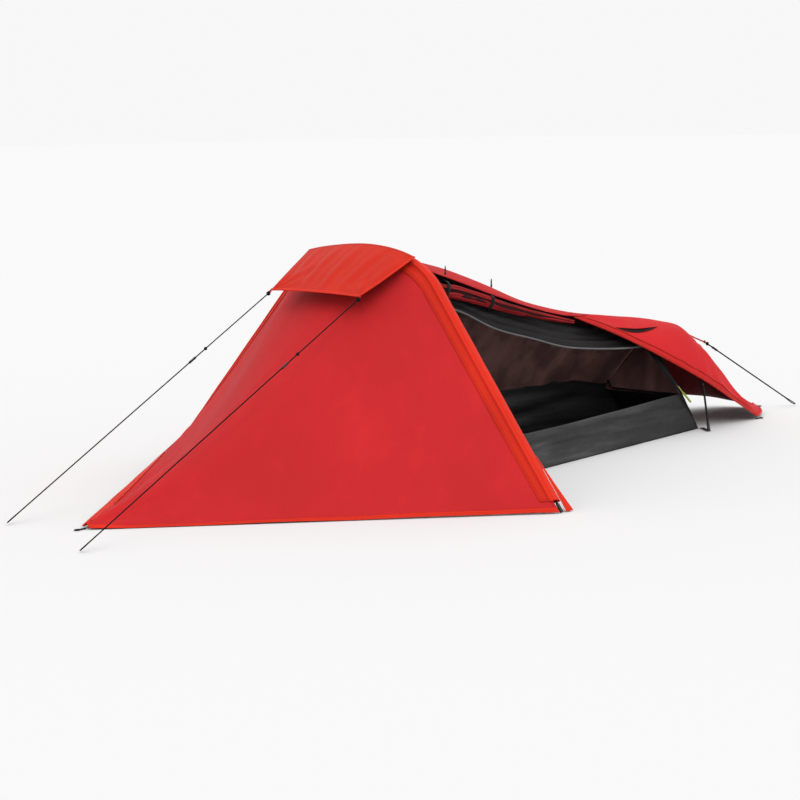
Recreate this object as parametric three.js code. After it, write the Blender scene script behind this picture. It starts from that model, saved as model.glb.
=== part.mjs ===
// A low one-person tent with a side door: a tall leaning hoop near the head, a
// small hoop at the foot, a red fly pegged to a point at each end, a hooded vent
// over the head, and a dark inner tent with a tub floor.
//
// Millimetres. +X runs from head to foot, +Y to the closed side, -Y to the door,
// +Z up. The origin is on the ground, midway between the feet of the tall hoop.

import * as THREE from 'three';

// ---------------------------------------------------------------- sizes

const HOOP_HALF_BASE = 944; // tall hoop, fly line, measured on the ground
const HOOP_HEIGHT = 795;
const HOOP_SHOULDER = [338, 680]; // half width and height where the leg ends
const POLE_R = 4.25;
const HOOP_LEAN = 6.9; // degrees, towards the foot
const FOOT_HALF_BASE = 312; // small hoop, fly line
const FOOT_HEIGHT = 412;
const FOOT_SHOULDER = [178, 322];
const FOOT_LEAN = 8;
const FOOT_X = 1680;
const FOOT_POLE_HALF_BASE = 269;
const FOOT_POLE_HEIGHT = FOOT_HEIGHT - 11.75 - POLE_R;
const FOOT_POLE_SHOULDER = [205, 240];

const HEAD_PEG_X = -1157;
const TAIL_PEG_X = 2380;
const TAIL_CORNER = [2085, 209];
const HEM_HEIGHT = 6; // clear of the ground
const FAR_HEM_HEIGHT = 98; // the closed side's hem is cut higher, for air

const FAR_CORNER_HEIGHT = 70;

const FLY = 3; // fabric as a solid sheet
const INNER = 2;
const SEAM = 4; // half of the gap left along a seam
const RIDGE_SAG = 44; // lowest part of the ridge, below a straight line
const TAIL_SAG = 44;
const TAIL_FAR_SAG = 60; // more on the closed side of the tail
const HEAD_SAG = 105; // of the line from the vent to the head peg

const FERRULE_R = 5.6;
const FERRULE_LENGTH = 60;
const TIP_R = 6;
const TIP_LENGTH = 34;
const FIT = 0.4; // clearance between pieces that touch

const SLEEVE_WIDTH = 48;
const SLEEVE_DEPTH = 17;
const SLEEVE_FOOT = 46; // bare pole below the sleeve
const PATCH_FOOT = 14;
const PATCH_HEIGHT = 150;
const PATCH_REACH = 24;
const HOOD_FRONT_X = -156;
const HOOD_HALF_WIDTH = 216;
const HOOD_FRONT_Z = 656;
const HOOD_RISE = 9; // hood cloth above the sleeve
const HOOD_FAR_RISE = 36; // more towards its corners, where the guys lift it
const HOOD_NEAR_RISE = 14;
const VENT_DEPTH = 0.12; // share of the way from hoop to head peg
const VENT_HALF = 0.15; // share of half the hoop's length

const TUB_HEAD = [-425, 330];
const TUB_HOOP = [40, 432];
const TUB_FOOT = [1731, 188];
const TUB_WALL = 150;
const TUB_WALL_FAR = 205;
const TUB_LEAN = 16;
const TUB_FOOT_SLANT = 110; // how far the foot end leans in towards the head
const INNER_GAP = 45; // inner ridge below the fly ridge
const INNER_FOOT_X = 1640;

const CORD_D = 4;
const STRAND = 2.35; // each strand of a doubled guyline from their middle
const GUY_TWIST = 30; // degrees that the head guylines' strands are turned
const GUY_RUNNER_AT = 395;
const GUY_HEAD_NEAR = [-1363, -279];
const GUY_HEAD_FAR = [-1249, 245];
const GUY_FOOT = [2519, -100];
const RUNNER = [34, 13, 7]; // length, width, thickness of a line runner
const ROLL_R = 28;
const TIE = [22, 2.5]; // width and thickness of a door tie
const TOGGLE_LENGTH = 32;
const TOGGLE_R = 3.5;

// ---------------------------------------------------------------- materials

function cloth(color) {
  return new THREE.MeshStandardMaterial({ color, roughness: 0.8, metalness: 0, side: THREE.DoubleSide });
}

const FLY_RED = cloth(0xc8272d);
const TRIM_RED = cloth(0xe63a2b);
const NET = cloth(0x3a2a2e);
const CHARCOAL = cloth(0x37393b);
const GREY_PIPING = cloth(0x77777a);
const WEBBING = cloth(0x17181a);
const CORD = cloth(0x141416);
const OLIVE = cloth(0x7d8a3c);
const POLE = new THREE.MeshStandardMaterial({ color: 0x1c1d20, roughness: 0.35, metalness: 0.3 });
const STEEL = new THREE.MeshStandardMaterial({ color: 0xb8bcc0, roughness: 0.3, metalness: 1 });
const PLASTIC = new THREE.MeshStandardMaterial({ color: 0x18191b, roughness: 0.5, metalness: 0 });

// ---------------------------------------------------------------- helpers

const V = (x, y, z) => new THREE.Vector3(x, y, z);
const lerp = (a, b, t) => a.clone().lerp(b, t);
const ramp = (t, a, b) => THREE.MathUtils.smoothstep(t, a, b);

const tent = new THREE.Group();

function add(name, geometry, material, parent = tent) {
  const mesh = new THREE.Mesh(geometry, material);
  mesh.name = name;
  parent.add(mesh);
  return mesh;
}

// Closed geometry from points and faces, with its faces turned outwards.
function closed(points, faces) {
  const flat = points.flatMap((p) => [p.x, p.y, p.z]);
  let volume = 0;
  for (const [a, b, c] of faces) {
    volume += points[a].dot(new THREE.Vector3().crossVectors(points[b], points[c]));
  }
  const index = volume < 0 ? faces.flatMap(([a, b, c]) => [a, c, b]) : faces.flat();
  const geometry = new THREE.BufferGeometry();
  geometry.setAttribute('position', new THREE.Float32BufferAttribute(flat, 3));
  geometry.setIndex(index);
  return geometry;
}

// A thin solid sheet: surface(u, v) is its middle, thickened along the normal.
function sheet(surface, nu, nv, thickness) {
  const e = 1e-3;
  const points = [];
  for (const side of [0.5, -0.5]) {
    for (let i = 0; i <= nu; i++) {
      for (let j = 0; j <= nv; j++) {
        const u = i / nu;
        const v = j / nv;
        const du = surface(Math.min(u + e, 1), v).sub(surface(Math.max(u - e, 0), v));
        const dv = surface(u, Math.min(v + e, 1)).sub(surface(u, Math.max(v - e, 0)));
        const normal = du.cross(dv).normalize();
        points.push(surface(u, v).addScaledVector(normal, side * thickness));
      }
    }
  }
  const row = nv + 1;
  const layer = (nu + 1) * row;
  const at = (side, i, j) => side * layer + i * row + j;
  const faces = [];
  const quad = (a, b, c, d) => faces.push([a, b, c], [a, c, d]);
  for (let i = 0; i < nu; i++) {
    for (let j = 0; j < nv; j++) {
      quad(at(0, i, j), at(0, i + 1, j), at(0, i + 1, j + 1), at(0, i, j + 1));
      quad(at(1, i, j), at(1, i, j + 1), at(1, i + 1, j + 1), at(1, i + 1, j));
    }
  }
  for (let i = 0; i < nu; i++) {
    quad(at(0, i, 0), at(1, i, 0), at(1, i + 1, 0), at(0, i + 1, 0));
    quad(at(0, i, nv), at(0, i + 1, nv), at(1, i + 1, nv), at(1, i, nv));
  }
  for (let j = 0; j < nv; j++) {
    quad(at(0, 0, j), at(0, 0, j + 1), at(1, 0, j + 1), at(1, 0, j));
    quad(at(0, nu, j), at(1, nu, j), at(1, nu, j + 1), at(0, nu, j + 1));
  }
  return closed(points, faces);
}

// A flat sheet between four corners, in order round the edge.
function flatSheet(a, b, c, d, thickness) {
  return sheet((u, v) => lerp(lerp(a, b, u), lerp(d, c, u), v), 1, 1, thickness);
}

function polygon(radius, sides) {
  const points = [];
  for (let k = 0; k < sides; k++) {
    const angle = (2 * Math.PI * k) / sides;
    points.push(new THREE.Vector2(radius * Math.cos(angle), radius * Math.sin(angle)));
  }
  return points;
}

function ring(outerX, outerY, inner, sides) {
  const outline = polygon(1, sides).map((p) => new THREE.Vector2(p.x * outerX, p.y * outerY));
  const shape = new THREE.Shape(outline);
  shape.holes.push(new THREE.Path(polygon(inner, sides)));
  return shape;
}

function sweep(shape, path, steps) {
  return new THREE.ExtrudeGeometry(shape, { steps, bevelEnabled: false, extrudePath: path });
}

function tube(path, radius, sides, steps) {
  return sweep(new THREE.Shape(polygon(radius, sides)), path, steps);
}

// A mesh made along +Z from z = 0, stood on point a and turned to face point b.
function aim(mesh, a, b) {
  const direction = b.clone().sub(a).normalize();
  mesh.position.copy(a);
  mesh.quaternion.setFromUnitVectors(V(0, 0, 1), direction);
  return mesh;
}

function rod(name, a, b, radius, material, sides = 10) {
  const shape = new THREE.Shape(polygon(radius, sides));
  const geometry = new THREE.ExtrudeGeometry(shape, { depth: a.distanceTo(b), bevelEnabled: false });
  return aim(add(name, geometry, material), a, b);
}

function pipe(name, a, b, inner, outer, material, sides = 12) {
  const shape = ring(outer, outer, inner, sides);
  const geometry = new THREE.ExtrudeGeometry(shape, { depth: a.distanceTo(b), bevelEnabled: false });
  return aim(add(name, geometry, material), a, b);
}

// ---------------------------------------------------------------- hoops

// A hoop in its own leaning plane, from the door side's foot over the crown to
// the other foot: two straight legs and an arch tangent to both.
class Hoop {
  constructor(x, halfBase, shoulder, height, leanDegrees) {
    const lean = THREE.MathUtils.degToRad(leanDegrees);
    this.x = x;
    this.tan = Math.tan(lean);
    this.cos = Math.cos(lean);
    this.along = V(Math.cos(lean), 0, -Math.sin(lean));
    const leg = new THREE.Vector2(shoulder[0] - halfBase, shoulder[1]).normalize();
    const pull = (height - shoulder[1]) / (0.75 * leg.y);
    const inner = [shoulder[0] + leg.x * pull, shoulder[1] + leg.y * pull];
    this.foot = [this.point(-halfBase, 0), this.point(halfBase, 0)];
    this.shoulder = [this.point(-shoulder[0], shoulder[1]), this.point(shoulder[0], shoulder[1])];
    this.arch = new THREE.CubicBezierCurve3(
      this.shoulder[0],
      this.point(-inner[0], inner[1]),
      this.point(inner[0], inner[1]),
      this.shoulder[1],
    );
    this.path = new THREE.CurvePath();
    this.path.add(new THREE.LineCurve3(this.foot[0], this.shoulder[0]));
    this.path.add(this.arch);
    this.path.add(new THREE.LineCurve3(this.shoulder[1], this.foot[1]));
  }

  point(y, z) {
    return V(this.x + z * this.tan, y, z);
  }

  // s runs from -1 at the door side's foot through 0 at the crown to 1.
  at(s, offset = 0) {
    const t = THREE.MathUtils.clamp((s + 1) / 2, 0, 1);
    return this.path.getPoint(t).addScaledVector(this.along, offset);
  }
}

const flyHoop = new Hoop(0, HOOP_HALF_BASE, HOOP_SHOULDER, HOOP_HEIGHT, HOOP_LEAN);
const flyFoot = new Hoop(FOOT_X, FOOT_HALF_BASE, FOOT_SHOULDER, FOOT_HEIGHT, FOOT_LEAN);
const footPole = new Hoop(
  FOOT_X, FOOT_POLE_HALF_BASE, FOOT_POLE_SHOULDER, FOOT_POLE_HEIGHT, FOOT_LEAN,
);

// Pole sections, their joining ferrules and the end tips of one hoop. cuts are
// the shares of each leg at which a ferrule joins two sections.
function poleSet(prefix, hoop, cuts) {
  const sides = ['near', 'far'];
  const half = FERRULE_LENGTH / 2;
  sides.forEach((side, k) => {
    const foot = hoop.foot[k];
    const top = hoop.shoulder[k];
    const length = foot.distanceTo(top);
    const on = (d) => lerp(foot, top, d / length);
    const stops = [TIP_LENGTH + FIT, ...cuts.map((c) => c * length), length];
    for (let i = 0; i + 1 < stops.length; i++) {
      const label = cuts.length ? `${prefix}_${side}_${i ? 'upper' : 'lower'}` : `${prefix}_${side}`;
      const end = stops[i + 1] - FIT;
      rod(label, on(stops[i]), on(end), POLE_R, POLE);
    }
    cuts.forEach((c) => {
      const middle = c * length;
      const label = `${prefix}_ferrule_${side}_lower`;
      pipe(label, on(middle - half), on(middle + half), POLE_R + FIT, FERRULE_R, STEEL);
    });
    const label = cuts.length ? `${prefix}_ferrule_${side}_upper` : `${prefix}_ferrule_${side}`;
    pipe(label, on(length - FERRULE_LENGTH - 4), on(length - 2), POLE_R + FIT, FERRULE_R, STEEL);
    rod(`${prefix}_tip_${side}`, on(TIP_R), on(TIP_LENGTH), TIP_R, PLASTIC);
  });
  const crown = hoop.arch;
  add(`${prefix}_crown`, tube(crown, POLE_R, 10, 18), POLE);
}

// ---------------------------------------------------------------- fly

const SLEEVE_EDGE = SLEEVE_WIDTH / 2 + SEAM;
const headPeg = V(HEAD_PEG_X, 0, HEM_HEIGHT);
const tailPeg = V(TAIL_PEG_X, 0, HEM_HEIGHT + 6);

// The share of a hoop's half at which its leg is at a given height.
function cutAt(hoop, height) {
  const leg = hoop.foot[1].distanceTo(hoop.shoulder[1]);
  const rise = hoop.shoulder[1].z;
  return 1 - (height * (leg / rise) * 2) / hoop.path.getLength();
}

const HEM_NEAR = cutAt(flyHoop, HEM_HEIGHT);
const HEM_FAR = cutAt(flyHoop, FAR_HEM_HEIGHT);
const HEM_FAR_FOOT = cutAt(flyFoot, FAR_HEM_HEIGHT);

// How far the vent opening reaches from the hoop towards the head peg.
function ventReach(s) {
  return VENT_DEPTH * (1 - ramp(Math.abs(s), VENT_HALF, VENT_HALF + 0.07));
}

// The head end of the fly, drawn from the hoop to the head peg and hollowed.
function headCloth(s, t) {
  const start = flyHoop.at(s, -SLEEVE_EDGE);
  const inside = 1 - Math.abs(s) ** 3;
  return lerp(start, headPeg, t).sub(V(0, 0, HEAD_SAG * Math.sin(Math.PI * t) * inside));
}

function headPanel(side) {
  const seam = 0.005;
  const bottom = side < 0 ? HEM_NEAR : HEM_FAR;
  return sheet((u, v) => {
    const s = side * (bottom - v * (bottom - seam));
    const reach = ventReach(s);
    return headCloth(s, reach + (0.975 - reach) * u);
  }, 8, 14, FLY);
}

function ventMesh() {
  return sheet((u, v) => {
    return headCloth((2 * v - 1) * (VENT_HALF - 0.025), VENT_DEPTH * 0.93 * u);
  }, 2, 12, FLY);
}

function hood() {
  return sheet((u, v) => {
    const side = 2 * v - 1;
    const pulled = side > 0 ? HOOD_FAR_RISE : HOOD_NEAR_RISE;
    const rise = HOOD_RISE + pulled * side * side;
    const rear = flyHoop.at(side * 0.212, -SLEEVE_EDGE + 6).add(V(0, 0, rise));
    const front = V(HOOD_FRONT_X, side * HOOD_HALF_WIDTH, HOOD_FRONT_Z + 8 * (1 - side * side));
    const bulge = 9 * Math.sin(Math.PI * u) * (1 - side * side);
    return lerp(rear, front, u).add(V(0, 0, bulge));
  }, 6, 12, FLY);
}

function sleeve() {
  const shape = ring(SLEEVE_WIDTH / 2, SLEEVE_DEPTH / 2, POLE_R + FERRULE_R / 2, 12);
  const total = flyHoop.path.getLength();
  const cut = SLEEVE_FOOT / total;
  const path = new THREE.CatmullRomCurve3(
    Array.from({ length: 49 }, (_, k) => flyHoop.path.getPoint(cut + (1 - 2 * cut) * (k / 48))),
  );
  return sweep(shape, path, 40);
}

// The three-cornered patch where the sleeve ends, reaching out along the hem.
function sleevePatch(side) {
  const bottom = cutAt(flyHoop, PATCH_FOOT);
  const top = cutAt(flyHoop, PATCH_HEIGHT);
  const from = SLEEVE_WIDTH / 2 + FIT;
  return flatSheet(
    flyHoop.at(side * bottom, from), flyHoop.at(side * bottom, from + PATCH_REACH),
    flyHoop.at(side * top, from + 3), flyHoop.at(side * top, from), FLY,
  );
}

// How far the ridge hangs below a straight line from hoop to hoop.
function ridgeSag(t) {
  return RIDGE_SAG * Math.sin(Math.PI * t ** 1.3) ** 2;
}

// The closed side, with a strip over the ridge where the door hangs.
function mainCanopy() {
  return sheet((u, v) => {
    const strip = -0.07 * (1 - ramp(u, 0.45, 0.62)) + 0.004;
    const a = flyHoop.at(strip + (HEM_FAR - strip) * v, SLEEVE_EDGE);
    const s = strip + (HEM_FAR_FOOT - strip) * v;
    const b = flyFoot.at(s, -SEAM);
    const sag = ridgeSag(u) * (1 - 0.75 * Math.abs(s));
    return lerp(a, b, u).sub(V(0, 0, sag));
  }, 14, 12, FLY);
}

// The edge of the door opening on the foot's near slope.
const doorEdge = new THREE.CatmullRomCurve3([
  V(1130, -34, 482),
  V(1250, -72, 432),
  V(1370, -112, 378),
  V(1530, -180, 290),
  V(1690, -243, 196),
  V(1880, -234, 104),
  V(TAIL_CORNER[0], -TAIL_CORNER[1], HEM_HEIGHT + 5),
]);

function tailSag(t) {
  return TAIL_SAG * Math.sin(Math.PI * t ** 1.6);
}

function ridgePoint(x) {
  const a = flyHoop.at(0, SLEEVE_EDGE);
  const b = flyFoot.at(0);
  if (x <= b.x) {
    const t = (x - a.x) / (b.x - a.x);
    return lerp(a, b, t).sub(V(0, 0, ridgeSag(t)));
  }
  const t = (x - b.x) / (tailPeg.x - b.x);
  return lerp(b, tailPeg, t).sub(V(0, 0, tailSag(t)));
}

// A near-side section from a ridge point to an edge point, bowed outwards: full
// and square over the small hoop, flatter away from it.
function nearSection(top, edge, v) {
  const from = top.clone().add(V(0, -SEAM, 0));
  const full = Math.exp(-(((top.x - flyFoot.at(0).x) / 260) ** 2));
  const drop = (from.z - edge.z) * 0.22 * (1 - full);
  const bow = V((from.x + edge.x) / 2, edge.y * (0.8 + 0.24 * full), from.z - drop);
  return new THREE.QuadraticBezierCurve3(from, bow, edge).getPoint(v);
}

// The point of the door edge at a given x, which rises all along the curve.
function edgeAt(x) {
  let low = 0;
  let high = 1;
  for (let k = 0; k < 40; k++) {
    const middle = (low + high) / 2;
    if (doorEdge.getPoint(middle).x < x) low = middle;
    else high = middle;
  }
  return doorEdge.getPoint(low);
}

function footShoulder() {
  const start = 1150;
  const stop = flyFoot.at(0).x - SEAM;
  return sheet((u, v) => {
    const x = start + (stop - start) * u;
    return nearSection(ridgePoint(x), edgeAt(start + (FOOT_X + 12 - start) * u), v);
  }, 8, 6, FLY);
}

function tailNear() {
  const start = flyFoot.at(0).x + SEAM;
  return sheet((u, v) => {
    const top = ridgePoint(start + (TAIL_PEG_X - start) * 0.97 * u);
    const from = FOOT_X + 20;
    return nearSection(top, edgeAt(from + (TAIL_CORNER[0] - from) * u), v);
  }, 8, 6, FLY);
}

function tailFar() {
  return sheet((u, v) => {
    const a = flyFoot.at(0.012 + (HEM_FAR_FOOT - 0.012) * v, SEAM);
    const tip = tailPeg.clone().add(V(-0.03 * (TAIL_PEG_X - FOOT_X), SEAM, 0));
    const corner = V(TAIL_CORNER[0], TAIL_CORNER[1], FAR_CORNER_HEIGHT);
    const b = lerp(tip, corner, v);
    const far = TAIL_FAR_SAG * Math.sin(Math.PI * u ** 0.8) * Math.sin(Math.PI * v ** 0.8);
    const sag = tailSag(u) * (1 - 0.7 * v) + far;
    return lerp(a, b, u).sub(V(0, 0, sag));
  }, 8, 8, FLY);
}

const rollPath = new THREE.CatmullRomCurve3([
  V(150, -172, 676),
  V(400, -108, 642),
  V(700, -86, 566),
  V(930, -74, 510),
  V(1110, -66, 468),
]);

function doorRoll() {
  return tube(rollPath, ROLL_R, 12, 16);
}

// A strap round the rolled door with a toggle standing on it.
function doorTie(name, t) {
  const middle = rollPath.getPointAt(t);
  const along = rollPath.getTangentAt(t);
  const a = middle.clone().addScaledVector(along, -TIE[0] / 2);
  const b = middle.clone().addScaledVector(along, TIE[0] / 2);
  pipe(`${name}_strap`, a, b, ROLL_R + 3, ROLL_R + 3 + TIE[1], WEBBING, 16);
  const foot = middle.clone().add(V(0, -10, ROLL_R + 3 + TIE[1] + 5));
  rod(`${name}_toggle`, foot, foot.clone().add(V(0, 0, TOGGLE_LENGTH)), TOGGLE_R, PLASTIC, 8);
}

// A reinforcing patch with a tab, lying on the ground where a peg loop goes.
function pegLoop(name, x, y, turn, z = 0.5) {
  const outline = new THREE.Shape();
  outline.absarc(0, 0, 11, 0.5 * Math.PI, 1.5 * Math.PI);
  outline.lineTo(34, -11);
  outline.lineTo(34, 11);
  outline.closePath();
  const hole = new THREE.Path();
  hole.absarc(0, 0, 7.5, 0.5 * Math.PI, 1.5 * Math.PI);
  hole.lineTo(26, -7.5);
  hole.lineTo(26, 7.5);
  hole.closePath();
  outline.holes.push(hole);
  const geometry = new THREE.ExtrudeGeometry(outline, { depth: 2, bevelEnabled: false, curveSegments: 6 });
  const mesh = add(name, geometry, WEBBING);
  mesh.position.set(x, y, z);
  mesh.rotation.z = THREE.MathUtils.degToRad(turn);
}

// ---------------------------------------------------------------- inner tent

const TUB_TOP_FOOT = TUB_FOOT[0] - TUB_FOOT_SLANT; // the top edge's foot end

function tubHalf(x) {
  const [xa, a] = x < TUB_HOOP[0] ? TUB_HEAD : TUB_HOOP;
  const [xb, b] = x < TUB_HOOP[0] ? TUB_HOOP : TUB_FOOT;
  return a + ((b - a) * (x - xa)) / (xb - xa);
}

function tubFloor() {
  const inset = INNER + 2;
  const outline = [];
  for (const side of [-1, 1]) {
    const corners = [TUB_HEAD, TUB_HOOP, TUB_FOOT].map(([x, y]) => [x, side * (y - inset)]);
    outline.push(...(side < 0 ? corners : corners.reverse()));
  }
  for (const [corner, sign] of [[0, 1], [5, 1], [2, -1], [3, -1]]) {
    outline[corner][0] += sign * (inset + 4);
  }
  const shape = new THREE.Shape(outline.map(([x, y]) => new THREE.Vector2(x, y)));
  return new THREE.ExtrudeGeometry(shape, { depth: INNER + 1, bevelEnabled: false });
}

// A long tub wall: side is -1 on the door side.
function tubWall(side, height) {
  return sheet((u, v) => {
    const head = Math.min(u / 0.25, 1);
    const foot = Math.max((u - 0.25) / 0.75, 0);
    const x = TUB_HEAD[0] + (TUB_HOOP[0] - TUB_HEAD[0]) * head + (TUB_FOOT[0] - TUB_HOOP[0]) * foot;
    const full = TUB_WALL + (height - TUB_WALL) * head;
    const shape = full * (1 - 0.1 * Math.sin(Math.PI * u) ** 2);
    const slanted = x - TUB_FOOT_SLANT * v * ramp(foot, 0.7, 1);
    return V(slanted, side * (tubHalf(slanted) - TUB_LEAN * v), 1.5 + shape * v);
  }, 16, 2, INNER);
}

function tubEnd(corner, inward, slant) {
  const [x, half] = corner;
  const b = x + inward * (INNER + 1);
  const t = b + inward * slant;
  const y = (inward < 0 ? tubHalf(x - slant) : half) - TUB_LEAN;
  const z = TUB_WALL - 4;
  return flatSheet(
    V(b, -(half - 4), 1.5), V(b, half - 4, 1.5), V(t, y - 5, z), V(t, -(y - 5), z), INNER,
  );
}

function innerRidge(x) {
  const p = ridgePoint(Math.max(x, 130));
  return V(x, 0, p.z - INNER_GAP);
}

function farNet() {
  const start = TUB_HOOP[0] + 60;
  return sheet((u, v) => {
    const x = start + (INNER_FOOT_X - start) * u;
    const top = innerRidge(x).add(V(0, 8, 0));
    const foot = start + (TUB_TOP_FOOT - 8 - start) * u;
    const low = V(foot, tubHalf(foot) - TUB_LEAN, TUB_WALL_FAR + 8);
    const bow = V(x, low.y * 0.62, top.z - (top.z - low.z) * 0.3);
    return new THREE.QuadraticBezierCurve3(top, bow, low).getPoint(v);
  }, 10, 6, INNER);
}

// The head end of the inner, from an arch under the tall hoop to the tub's end.
function headNet() {
  const x = TUB_HOOP[0] + 40;
  const top = innerRidge(x + 60);
  const half = tubHalf(x) - TUB_LEAN;
  const arch = new THREE.CubicBezierCurve3(
    V(x, -half, TUB_WALL + 14),
    V(x, -half * 0.55, top.z * 1.22),
    V(x, half * 0.55, top.z * 1.22),
    V(x, half, TUB_WALL_FAR + 14),
  );
  const end = TUB_HEAD[1] - TUB_LEAN - 12;
  return sheet((u, v) => {
    const low = V(TUB_HEAD[0] + TUB_LEAN + 14, (2 * v - 1) * end, TUB_WALL + 10);
    return lerp(arch.getPoint(v), low, u);
  }, 5, 12, INNER);
}

const pipingPath = new THREE.CatmullRomCurve3([
  V(150, -150, 620),
  V(434, -104, 557),
  V(632, -100, 478),
  V(844, -98, 424),
  V(1025, -96, 379),
  V(1339, -96, 346),
  V(1480, -98, 342),
]);

function header() {
  return sheet((u, v) => {
    const low = pipingPath.getPointAt(u).add(V(0, 2, 6));
    const top = innerRidge(low.x).add(V(0, -8, 0));
    return lerp(top, low, v);
  }, 12, 2, INNER);
}

// A strap on the ground from the tub's corner to the small hoop's foot.
function cornerStrap() {
  const corner = V(TUB_FOOT[0] + 4, -(TUB_FOOT[1] + 4), 2);
  const foot = V(FOOT_X + 12, -(FOOT_POLE_HALF_BASE - 10), 2);
  const across = V(0.5 * TIE[0], 0.2 * TIE[0], 0);
  return flatSheet(
    corner.clone().sub(across), corner.clone().add(across),
    foot.clone().add(across), foot.clone().sub(across), TIE[1],
  );
}

const zipTop = V(1500, -104, 336);
const zipFoot = V(1545, -226, 178);

function footSide() {
  const top = V(INNER_FOOT_X + 6, -16, 348);
  const corner = V(TUB_TOP_FOOT - 14, -(tubHalf(TUB_TOP_FOOT) - TUB_LEAN - 6), TUB_WALL + 16);
  const off = V(10, 3, 5);
  return flatSheet(
    zipTop.clone().add(off), top, corner, zipFoot.clone().add(off), INNER,
  );
}

function footNet() {
  const x = TUB_TOP_FOOT - 4;
  const y = tubHalf(x) - TUB_LEAN - 14;
  const z = TUB_WALL + 8;
  const top = INNER_FOOT_X + 16;
  return flatSheet(V(x, -y, z), V(x, y, z), V(top, 16, 346), V(top, -10, 346), INNER);
}

// ---------------------------------------------------------------- zip

// A frame whose +Z runs up the zip and whose +Y faces out of the tent.
function zipFrame() {
  const frame = new THREE.Group();
  const up = zipTop.clone().sub(zipFoot).normalize();
  const out = V(0, -1, -0.55).projectOnPlane(up).normalize();
  const across = new THREE.Vector3().crossVectors(out, up);
  frame.quaternion.setFromRotationMatrix(new THREE.Matrix4().makeBasis(across, out, up));
  frame.position.copy(zipFoot);
  tent.add(frame);
  return frame;
}

function zip() {
  const frame = zipFrame();
  const length = zipTop.distanceTo(zipFoot);
  const tape = add('inner_zip_tape', new THREE.BoxGeometry(14, 1.6, length), WEBBING, frame);
  tape.position.set(0, 0, length / 2);
  const slider = add('inner_zip_slider', new THREE.BoxGeometry(9, 4, 13), PLASTIC, frame);
  slider.position.set(0, 0.8 + FIT + 2, 12);
  const shape = new THREE.Shape([
    new THREE.Vector2(-3, 0),
    new THREE.Vector2(3, 0),
    new THREE.Vector2(4.5, -72),
    new THREE.Vector2(0, -80),
    new THREE.Vector2(-4.5, -72),
  ]);
  const geometry = new THREE.ExtrudeGeometry(shape, { depth: 3, bevelEnabled: false });
  const pull = add('inner_zip_pull', geometry, OLIVE, frame);
  pull.rotation.x = Math.PI / 2;
  pull.position.set(0, 0.8 + FIT + 4 + FIT + 3, 10);
}

// ---------------------------------------------------------------- guys

// The way from one strand to the other: level, then turned round the line.
function strandSide(along) {
  const side = new THREE.Vector3().crossVectors(along, V(0, 0, 1)).normalize();
  return side.applyAxisAngle(along, THREE.MathUtils.degToRad(along.x < 0 ? GUY_TWIST : 0));
}

// A guyline goes from its tie-off through the runner to the ground, round in a
// loop, and back up through the runner to a knot.
function guyPath(start, ground, doubled) {
  const along = ground.clone().sub(start).normalize();
  const side = strandSide(along);
  const back = (d, w) => ground.clone().addScaledVector(along, -d).addScaledVector(side, w);
  const bend = 8.4;
  const gap = STRAND;
  const points = [start.clone().addScaledVector(side, -gap)];
  const length = start.distanceTo(ground);
  for (let d = length * 0.86; d > 80; d -= length * 0.14) {
    points.push(back(d, -gap));
  }
  points.push(back(60, -gap - 1), back(34, -bend + 1), back(18, -bend), back(7, -bend * 0.8));
  points.push(back(2, 0));
  points.push(back(7, bend * 0.8), back(18, bend), back(34, bend - 1), back(60, gap + 1));
  for (let d = length * 0.14; d < doubled; d += length * 0.14) {
    points.push(back(d, gap));
  }
  points.push(back(doubled, gap));
  return new THREE.CatmullRomCurve3(points, false, 'centripetal');
}

function runner(name, start, ground, distance) {
  const [length, width, thick] = RUNNER;
  const along = ground.clone().sub(start).normalize();
  const side = strandSide(along);
  const up = new THREE.Vector3().crossVectors(along, side);
  const shape = new THREE.Shape(
    [[-1, -1], [1, -1], [1, 1], [-1, 1]].map(([a, b]) => new THREE.Vector2((a * width) / 2, (b * thick) / 2)),
  );
  const radius = CORD_D / 2 + 0.5;
  const slot = polygon(radius, 12).map((p) => new THREE.Vector2(p.x + Math.sign(p.x) * STRAND, p.y));
  shape.holes.push(new THREE.Path(slot));
  const geometry = new THREE.ExtrudeGeometry(shape, { depth: length, bevelEnabled: false });
  geometry.translate(0, 0, -length / 2);
  const mesh = add(name, geometry, PLASTIC);
  mesh.quaternion.setFromRotationMatrix(new THREE.Matrix4().makeBasis(side, up, along));
  mesh.position.copy(start).addScaledVector(along, distance);
}

function guy(name, start, ground, distance) {
  const doubled = start.distanceTo(ground) - distance + 62;
  const path = guyPath(start, ground, doubled);
  add(`guyline_${name}`, tube(path, CORD_D / 2, 8, 78), CORD);
  runner(`guy_runner_${name}`, start, ground, distance);
}

function guys() {
  const lift = CORD_D / 2 + 5;
  const corner = (side) => V(HOOD_FRONT_X - 9, side * (HOOD_HALF_WIDTH + 3), HOOD_FRONT_Z - 8);
  guy('head_near', corner(-1), V(...GUY_HEAD_NEAR, lift), GUY_RUNNER_AT);
  guy('head_far', corner(1), V(...GUY_HEAD_FAR, lift), GUY_RUNNER_AT);
  const tapeEnd = V(2003, -14, 306);
  const tapeStart = ridgePoint(flyFoot.at(0).x + 20).add(V(0, 0, 6));
  const tape = flatSheet(
    tapeStart.clone().add(V(0, -9, 0)), tapeStart.clone().add(V(0, 9, 0)),
    tapeEnd.clone().add(V(-4, 9, 0)), tapeEnd.clone().add(V(-4, -9, 0)), 2,
  );
  add('foot_guy_tape', tape, TRIM_RED);
  guy('foot', tapeEnd.clone().add(V(6, 0, -2)), V(GUY_FOOT[0], GUY_FOOT[1], lift), 52);
}

// ---------------------------------------------------------------- build

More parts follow.
